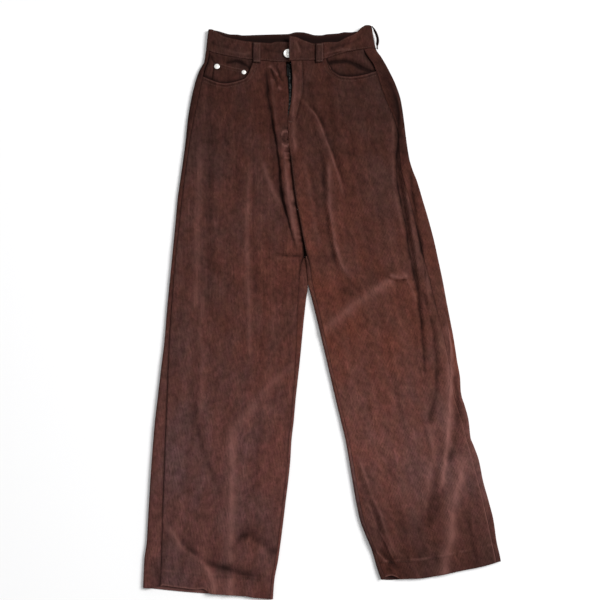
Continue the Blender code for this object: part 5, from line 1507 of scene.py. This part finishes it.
def sewing(thread):
    """All the stitches that show, in one piece for each panel or band."""
    for side in SIDES:
        tacks = []
        if side == "left":
            tacks.append(bar_tack((-0.0600, 0.3318), (-0.0535, 0.3302), lambda x, y: front_face(side, x, y), 9))
        sew_rows(f"stitches_front_{side}", front_rows(side), thread, tacks)
        sew_rows(f"stitches_back_{side}", floor_rows(side), thread, outwards=-1.0)
    sew_rows("stitches_waistband", band_rows(), thread)
    sew_rows("stitches_waistband_back", band_floor_rows(), thread, outwards=-1.0)
    for loop in LOOPS:
        sew_rows(f"stitches_{loop.name}", [], thread, loop_tacks(loop))
    x = np.linspace(COIN_TOP[0].x + 0.002, COIN_TOP[-1].x - 0.001, 120)
    rows = [on_face(straight(x, COIN_TOP_Y(x) - below), coin_face) for below in (0.0018, 0.0068)]
    sew_rows("stitches_coin_pocket", rows, thread)


def zip_teeth(finish):
    """Two rows of teeth that mesh down the middle of the tape."""
    y = np.arange(TEETH_FOOT, SLIDER_FOOT, TOOTH_PITCH / 2)
    hand = np.where(np.arange(len(y)) % 2, 1.0, -1.0)
    x = slit_middle(y) + hand * TOOTH_ASIDE
    places = np.column_stack([x, y, tape_height(x, y) - TOOTH_SUNK])
    along = np.broadcast_to([1.0, 0.0, 0.0], places.shape)
    return lay_out("zip_teeth", tooth_shape(), places, along, finish)


# ---- Finishes ----


def put(tree, kind, inputs=None, **settings):
    """Adds a node, sets it, and fills its inputs with numbers, colours or other nodes' outputs."""
    made = tree.nodes.new(kind)
    for name, value in settings.items():
        setattr(made, name, value)
    for name, value in (inputs or {}).items():
        if isinstance(value, bpy.types.NodeSocket):
            tree.links.new(value, made.inputs[name])
        else:
            made.inputs[name].default_value = value
    return made


def maths(tree, operation, a, b=0.0, clamp=False):
    return put(tree, "ShaderNodeMath", {0: a, 1: b}, operation=operation, use_clamp=clamp).outputs[0]


def plus(tree, a, b):
    return maths(tree, "ADD", a, b)


def minus(tree, a, b, clamp=False):
    return maths(tree, "SUBTRACT", a, b, clamp)


def times(tree, a, b, clamp=False):
    return maths(tree, "MULTIPLY", a, b, clamp)


def blended(tree, share, a, b, kind="MIX"):
    made = put(tree, "ShaderNodeMix", {0: share}, data_type="RGBA", blend_type=kind)
    for socket, value in ((made.inputs[6], a), (made.inputs[7], b)):
        if isinstance(value, bpy.types.NodeSocket):
            tree.links.new(value, socket)
        else:
            socket.default_value = (*value, 1.0)
    return made.outputs[2]


def noise(tree, place, scale, detail, roughness, stretch=(1, 1, 1), start=(0, 0, 0)):
    moved = put(tree, "ShaderNodeMapping", {"Vector": place, "Scale": stretch, "Location": start})
    made = put(tree, "ShaderNodeTexNoise", {"Vector": moved.outputs[0], "Scale": scale, "Detail": detail,
                                            "Roughness": roughness})
    return made.outputs["Fac"]


def spread(tree, value, low, high, to_low=0.0, to_high=1.0):
    made = put(tree, "ShaderNodeMapRange", {"Value": value, "From Min": low, "From Max": high,
                                            "To Min": to_low, "To Max": to_high})
    return made.outputs[0]


def cut_place(tree):
    """A point's place in the cut of its sheet."""
    return put(tree, "ShaderNodeUVMap", uv_map="cut").outputs[0]


def new_group(name, inputs, outputs):
    group = bpy.data.node_groups.new(name, "ShaderNodeTree")
    for label, kind, value in inputs:
        socket = group.interface.new_socket(label, in_out="INPUT", socket_type=kind)
        if value is not None:
            socket.default_value = value
    for label, kind in outputs:
        group.interface.new_socket(label, in_out="OUTPUT", socket_type=kind)
    return group, group.nodes.new("NodeGroupInput"), group.nodes.new("NodeGroupOutput")


RIB_PITCH = 0.0026        # from rib to rib


def ribbed_nap_group():
    """Corduroy's nap over its ribs: how light and how warm it is, with painted shade in the grooves between the ribs,
    its lint and its relief.
    """
    group, into, out = new_group(
        "ribbed_nap",
        [("Cut", "NodeSocketVector", None), ("Rib Pitch", "NodeSocketFloat", RIB_PITCH),
         ("Seed", "NodeSocketFloat", 0.0)],
        [("Light", "NodeSocketFloat"), ("Warm", "NodeSocketFloat"), ("Pink", "NodeSocketFloat"),
         ("Lint", "NodeSocketFloat"), ("Relief", "NodeSocketFloat")],
    )
    seed = put(group, "ShaderNodeCombineXYZ", {"Z": into.outputs["Seed"]}).outputs[0]
    place = put(group, "ShaderNodeVectorMath", {0: into.outputs["Cut"], 1: seed}, operation="ADD").outputs[0]
    waver = noise(group, place, 1.0, 2.0, 0.5, (30, 9, 1))
    cut = put(group, "ShaderNodeSeparateXYZ", {0: place})
    shifted = plus(group, cut.outputs[0], times(group, waver, 0.0024))
    part = maths(group, "FRACT", maths(group, "DIVIDE", shifted, into.outputs["Rib Pitch"]))
    rib = maths(group, "SINE", times(group, part, math.pi))
    patches = noise(group, place, 1.0, 4.0, 0.6, (34, 22, 1), (8.3, 2.2, 0))
    smears = noise(group, place, 1.0, 4.0, 0.65, (120, 90, 1), (0.4, 5.2, 0))
    streaks = noise(group, place, 1.0, 3.0, 0.6, (330, 30, 1), (3.1, 0.7, 0))
    fuzz = noise(group, place, 1.0, 3.0, 0.7, (900, 600, 1), (1.7, 4.4, 0))
    crinkle = noise(group, place, 1.0, 2.0, 0.5, (46, 15, 1), (2.9, 7.7, 0))
    warm = noise(group, place, 1.0, 3.0, 0.6, (17, 9, 1), (5.7, 9.1, 0))
    pink = noise(group, place, 1.0, 4.0, 0.7, (70, 44, 1), (9.2, 3.3, 0))
    specks = noise(group, place, 1.0, 2.0, 0.6, (520, 240, 1), (6.6, 1.2, 0))
    rib_show = spread(group, patches, 0.40, 0.60, 0.45, 1.0)
    # Painted shade in the grooves between the ribs, and painted highlight on their crowns.
    light = times(group, minus(group, rib, 0.66), rib_show)
    light = plus(group, times(group, light, 0.30), 0.5)
    for source, amount in ((streaks, 0.10), (smears, 1.30), (patches, 0.95), (fuzz, 0.12)):
        light = plus(group, light, times(group, minus(group, source, 0.5), amount))
    line = maths(group, "ABSOLUTE", minus(group, crinkle, 0.5))
    line = times(group, spread(group, line, 0.0, 0.030, 1.0, 0.0), spread(group, patches, 0.44, 0.60))
    light = plus(group, light, times(group, line, 0.24))
    curl = noise(group, place, 1.0, 2.0, 0.5, (85, 42, 1), (4.1, 6.3, 0))
    curled = times(group, spread(group, curl, 0.45, 0.53), spread(group, warm, 0.42, 0.56))
    curl_line = spread(group, maths(group, "ABSOLUTE", minus(group, curl, 0.52)), 0.0, 0.016, 1.0, 0.0)
    curl_line = times(group, curl_line, spread(group, smears, 0.46, 0.58))
    light = plus(group, light, times(group, curl_line, 0.14))
    flecks = spread(group, specks, 0.27, 0.35, 0.20, 0.0)
    light = minus(group, light, flecks, clamp=True)
    lint = times(group, spread(group, specks, 0.66, 0.76), spread(group, pink, 0.46, 0.60))
    relief = times(group, times(group, rib, rib_show), 0.34)
    step = spread(group, crinkle, 0.47, 0.53)
    for source, amount in ((fuzz, 0.12), (smears, 1.8), (patches, 2.4), (step, 0.28), (line, 0.26), (streaks, 0.05),
                           (curled, 0.20), (curl_line, 0.10)):
        relief = plus(group, relief, times(group, source, amount))
    for label, value in (("Light", light), ("Warm", warm), ("Pink", pink), ("Lint", lint), ("Relief", relief)):
        group.links.new(value, out.inputs[label])
    return group


def new_finish(name, color=None, roughness=0.5, metallic=0.0, gloss=0.5):
    material = bpy.data.materials.new(name)
    material.use_nodes = True
    surface = material.node_tree.nodes["Principled BSDF"]
    surface.inputs["Roughness"].default_value = roughness
    surface.inputs["Metallic"].default_value = metallic
    surface.inputs["Specular IOR Level"].default_value = gloss
    if color:
        surface.inputs["Base Color"].default_value = (*color, 1.0)
    return material, material.node_tree, surface


def emboss(tree, surface, height, distance, strength):
    """Lets a height show as relief on a surface."""
    bump = put(tree, "ShaderNodeBump", {"Height": height, "Distance": distance, "Strength": strength})
    tree.links.new(bump.outputs[0], surface.inputs["Normal"])


def tinted(tree, color, share, low, high, first, last):
    """A colour multiplied by a tint, which goes from the first to the last as the share goes from low to high."""
    tint = blended(tree, spread(tree, share, low, high), first, last)
    return blended(tree, 1.0, color, tint, "MULTIPLY")


def corduroy_finish(name, nap, seed, color, tints=(), inward=0):
    """Cloth with ribs: nap from dark to light, warm, cool and pink patches, pale lint, painted shade in its creases and
    painted highlight on their crests.

    The tints run along the garment from the hems to the waist, and each leg is redder on its inner half.
    """
    material, tree, surface = new_finish(name, roughness=0.88, gloss=0.05)
    cut = cut_place(tree)
    cloth = put(tree, "ShaderNodeGroup", node_tree=nap)
    tree.links.new(cut, cloth.inputs["Cut"])
    cloth.inputs["Seed"].default_value = seed
    shade = put(tree, "ShaderNodeAttribute", attribute_name="shade").outputs["Fac"]
    dark, light = (tuple(part * amount for part in color) for amount in (0.44, 1.56))
    mixed = blended(tree, cloth.outputs["Light"], dark, light)
    mixed = tinted(tree, mixed, cloth.outputs["Warm"], 0.38, 0.60, (0.95, 1.03, 1.07), (1.06, 0.96, 0.91))
    mixed = tinted(tree, mixed, cloth.outputs["Pink"], 0.42, 0.60, (0.98, 1.01, 0.97), (1.03, 0.99, 1.05))
    if tints:
        along = put(tree, "ShaderNodeSeparateXYZ", {0: put(tree, "ShaderNodeTexCoord").outputs["Object"]}).outputs[1]
        foot, top = tints[0][0], tints[-1][0]
        ramp = put(tree, "ShaderNodeValToRGB", {0: spread(tree, along, foot, top)})
        bands = ramp.color_ramp.elements
        bands[0].position, bands[1].position = 0.0, 1.0
        for tint in tints[1:-1]:
            bands.new((tint[0] - foot) / (top - foot))
        for band, tint in zip(bands, tints):
            band.color = (*(part / 2 for part in tint[1]), 1.0)
        doubled = blended(tree, 1.0, ramp.outputs[0], (2.0, 2.0, 2.0), "MULTIPLY")
        mixed = blended(tree, 1.0, mixed, doubled, "MULTIPLY")
        to_inside = times(tree, put(tree, "ShaderNodeSeparateXYZ", {0: cut}).outputs[0], inward)
        mixed = tinted(tree, mixed, to_inside, -0.10, 0.10, (0.95, 1.01, 1.05), (1.07, 0.99, 0.95))
    mixed = blended(tree, times(tree, cloth.outputs["Lint"], 0.22), mixed, (0.30, 0.19, 0.17))
    # Painted shade: the shade attribute darkens the colour towards near black; below 0 it lightens it as painted
    # highlight.
    mixed = blended(tree, times(tree, shade, 0.85, clamp=True), mixed, (0.006, 0.0022, 0.0018))
    painted_highlight = times(tree, shade, -0.42, clamp=True)
    mixed = blended(tree, painted_highlight, mixed, tuple(min(1.0, 3.2 * part + 0.02) for part in color))
    tree.links.new(mixed, surface.inputs["Base Color"])
    emboss(tree, surface, cloth.outputs["Relief"], 0.0010, 0.9)
    surface.inputs["Sheen Weight"].default_value = 0.02
    surface.inputs["Sheen Roughness"].default_value = 0.5
    surface.inputs["Sheen Tint"].default_value = (0.75, 0.52, 0.50, 1.0)
    return material


def inside_painted_shade_finish(name, top, foot, low, high):
    """The flat inner side of the cloth, in one colour below the low place along its cut and another above the high; its
    near-black colours are painted shade, where the inside lies deep in the garment.
    """
    material, tree, surface = new_finish(name, roughness=0.95, gloss=0.1)
    cut = cut_place(tree)
    weave = noise(tree, cut, 1.0, 2.0, 0.6, (800, 500, 1))
    cloud = noise(tree, cut, 1.0, 3.0, 0.6, (60, 30, 1))
    depth = put(tree, "ShaderNodeSeparateXYZ", {0: cut}).outputs[1]
    mixed = blended(tree, spread(tree, depth, low, high), foot, top)
    grey = plus(tree, times(tree, weave, 0.5), plus(tree, cloud, 0.25))
    shading = put(tree, "ShaderNodeCombineXYZ", {0: grey, 1: grey, 2: grey}).outputs[0]
    mixed = blended(tree, 1.0, mixed, shading, "MULTIPLY")
    tree.links.new(mixed, surface.inputs["Base Color"])
    emboss(tree, surface, weave, 0.0002, 0.5)
    return material


# Tints of each leg at heights from the hem to the waist
LEG_TINTS = {
    "right": (
        (-0.550, (1.00, 1.08, 1.16)), (-0.440, (1.04, 1.12, 1.20)), (-0.295, (1.12, 1.22, 1.32)),
        (-0.060, (0.94, 0.90, 0.86)), (0.158, (0.84, 0.84, 0.82)), (0.345, (0.58, 0.56, 0.53)),
        (0.550, (0.56, 0.54, 0.51)),
    ),
    "left": (
        (-0.550, (0.60, 0.60, 0.58)), (-0.440, (0.67, 0.67, 0.65)), (-0.295, (1.38, 1.46, 1.50)),
        (-0.060, (1.14, 1.00, 0.87)), (0.158, (0.84, 0.80, 0.74)), (0.345, (0.57, 0.55, 0.51)),
        (0.550, (0.55, 0.53, 0.49)),
    ),
}


def woven_tape_finish():
    material, tree, surface = new_finish("black_tape", roughness=0.8, gloss=0.05)
    cut = cut_place(tree)
    weave = noise(tree, cut, 1.0, 2.0, 0.6, (1500, 700, 1))
    color = blended(tree, weave, (0.0008, 0.0008, 0.0008), (0.0030, 0.0030, 0.0030))
    tree.links.new(color, surface.inputs["Base Color"])
    emboss(tree, surface, weave, 0.0003, 0.6)
    return material


def thread_finish(name, color):
    """Spun thread: fine twists across a soft matt colour."""
    material, tree, surface = new_finish(name, roughness=0.8, gloss=0.1)
    place = put(tree, "ShaderNodeTexCoord").outputs["Object"]
    twist = noise(tree, place, 2600.0, 2.0, 0.6)
    cloud = noise(tree, place, 60.0, 2.0, 0.5)
    dark, light = (tuple(part * amount for part in color) for amount in (0.6, 1.4))
    mixed = blended(tree, plus(tree, times(tree, twist, 0.6), times(tree, cloud, 0.4)),
                    dark, light)
    tree.links.new(mixed, surface.inputs["Base Color"])
    return material


def metal_finish(name, color, wear_and_glint, roughness, metallic, gloss=0.5):
    material, tree, surface = new_finish(name, roughness=roughness, metallic=metallic, gloss=gloss)
    place = put(tree, "ShaderNodeTexCoord").outputs["Object"]
    scuffs = noise(tree, place, 1400.0, 4.0, 0.6)
    cloud = noise(tree, place, 260.0, 2.0, 0.5)
    # Lighter patches: wear on the button, rivets and slider; on the zip's teeth they are painted glints as well as
    # wear.
    tree.links.new(blended(tree, spread(tree, cloud, 0.42, 0.66), color, wear_and_glint), surface.inputs["Base Color"])
    tree.links.new(spread(tree, scuffs, 0.3, 0.7, roughness - 0.08, roughness + 0.12), surface.inputs["Roughness"])
    return material


# ---- Floor, light and camera ----

FLOOR_WIDE = 24.0
FLOOR_BELOW = 0.0002      # how far it lies under the cloth
LENS = 60.0
CAMERA_AIM = (-0.039, -0.003)
CAMERA_ABOVE = 80         # degrees above the floor
CAMERA_AWAY = 1.80


def studio_light(name, size, power, around, above, away):
    """A square soft light that faces the garment, from degrees round from +X and above the floor."""
    data = bpy.data.lights.new(name, "AREA")
    data.shape = "SQUARE"
    data.size = size
    data.energy = power
    light = placed(name, data)
    around, above = math.radians(around), math.radians(above)
    flat = away * math.cos(above)
    light.location = (flat * math.cos(around), flat * math.sin(around), away * math.sin(above))
    light.rotation_euler = (math.pi / 2 - above, 0, around + math.pi / 2)


def floor_and_light():
    bpy.ops.mesh.primitive_plane_add(size=FLOOR_WIDE, location=(0, 0, -FLOOR_BELOW))
    floor = bpy.context.object
    floor.name = "floor"
    floor.data.materials.append(new_finish("floor", (0.93, 0.93, 0.93), 0.9)[0])
    world = bpy.data.worlds.new("studio")
    world.use_nodes = True
    world.node_tree.nodes["Background"].inputs["Color"].default_value = (0.99, 0.99, 1.0, 1)
    world.node_tree.nodes["Background"].inputs["Strength"].default_value = 0.40
    bpy.context.scene.world = world
    studio_light("key", 3.4, 700.0, 18, 40, 8.0)
    studio_light("card over the hardware", 1.3, 7.5, 90, 79, 2.6)


def camera():
    data = bpy.data.cameras.new("camera")
    data.lens = LENS
    data.sensor_width = 36.0
    made = placed("camera", data)
    above = math.radians(CAMERA_ABOVE)
    x, y = CAMERA_AIM
    made.location = (x, y - CAMERA_AWAY * math.cos(above), CAMERA_AWAY * math.sin(above))
    made.rotation_euler = (math.pi / 2 - above, 0, 0)
    bpy.context.scene.camera = made


def main():
    nap = ribbed_nap_group()
    brown = (0.076, 0.0295, 0.0240)
    # Painted shade: the inner faces are near black, the band's lighter towards its top edge; at the hem the right leg's
    # inside is a lighter brown than the left's, painted light where its mouth opens wider.
    inside_in_painted_shade = inside_painted_shade_finish("band_inside_painted_shade", (0.020, 0.0062, 0.0050), (0.008, 0.0028, 0.0022), 0.024, 0.037)
    inside = {
        side: inside_painted_shade_finish(f"leg_inside_painted_shade_{side}", (0.008, 0.003, 0.0025), foot, -0.47, -0.44)
        for side, foot in (("right", (0.115, 0.049, 0.043)), ("left", (0.040, 0.016, 0.014)))
    }
    legs = {
        side: (corduroy_finish(f"brown_corduroy_{side}", nap, seed, brown, LEG_TINTS[side], INWARD[side]), inside[side])
        for side, seed in (("right", 0.0), ("left", 4.0))
    }
    band = (corduroy_finish("brown_corduroy_band", nap, 7.0, (0.0420, 0.0162, 0.0124)), inside_in_painted_shade)
    loops = (corduroy_finish("brown_corduroy_loops", nap, 9.0, (0.044, 0.0180, 0.0140)), inside_in_painted_shade)
    pocket = (corduroy_finish("pocket_corduroy", nap, 3.0, (0.037, 0.0146, 0.0112)), inside_in_painted_shade)
    tape = (woven_tape_finish(),)
    black = metal_finish("black_zip", (0.003, 0.003, 0.003), (0.008, 0.008, 0.008), 0.55, 0.0, 0.08)
    silver = metal_finish("silver_plate", (0.92, 0.89, 0.85), (0.98, 0.96, 0.93), 0.36, 0.5)

    for side in SIDES:
        front_panel(side, legs[side])
        back_panel(side, legs[side])
        pocket_bearer(side, pocket)
    waistband(band)
    for loop in LOOPS:
        front_loop(loop, loops)
    side_loop(loops)
    coin_pocket(pocket)
    zip_tape(tape)
    sewing(thread_finish("brown_thread", (0.095, 0.052, 0.042)))
    # The teeth's lighter patches are painted glints as well as wear.
    zip_teeth(metal_finish("black_zip_teeth", (0.002, 0.002, 0.002), (0.09, 0.09, 0.088), 0.40, 0.3, 0.2))
    hardware(silver)
    for node in ("zip_slider", "zip_pull"):
        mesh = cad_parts[node].data
        mesh.materials.clear()
        mesh.materials.append(black)
    floor_and_light()
    camera()
    bpy.context.scene.view_settings.view_transform = "Standard"


main()
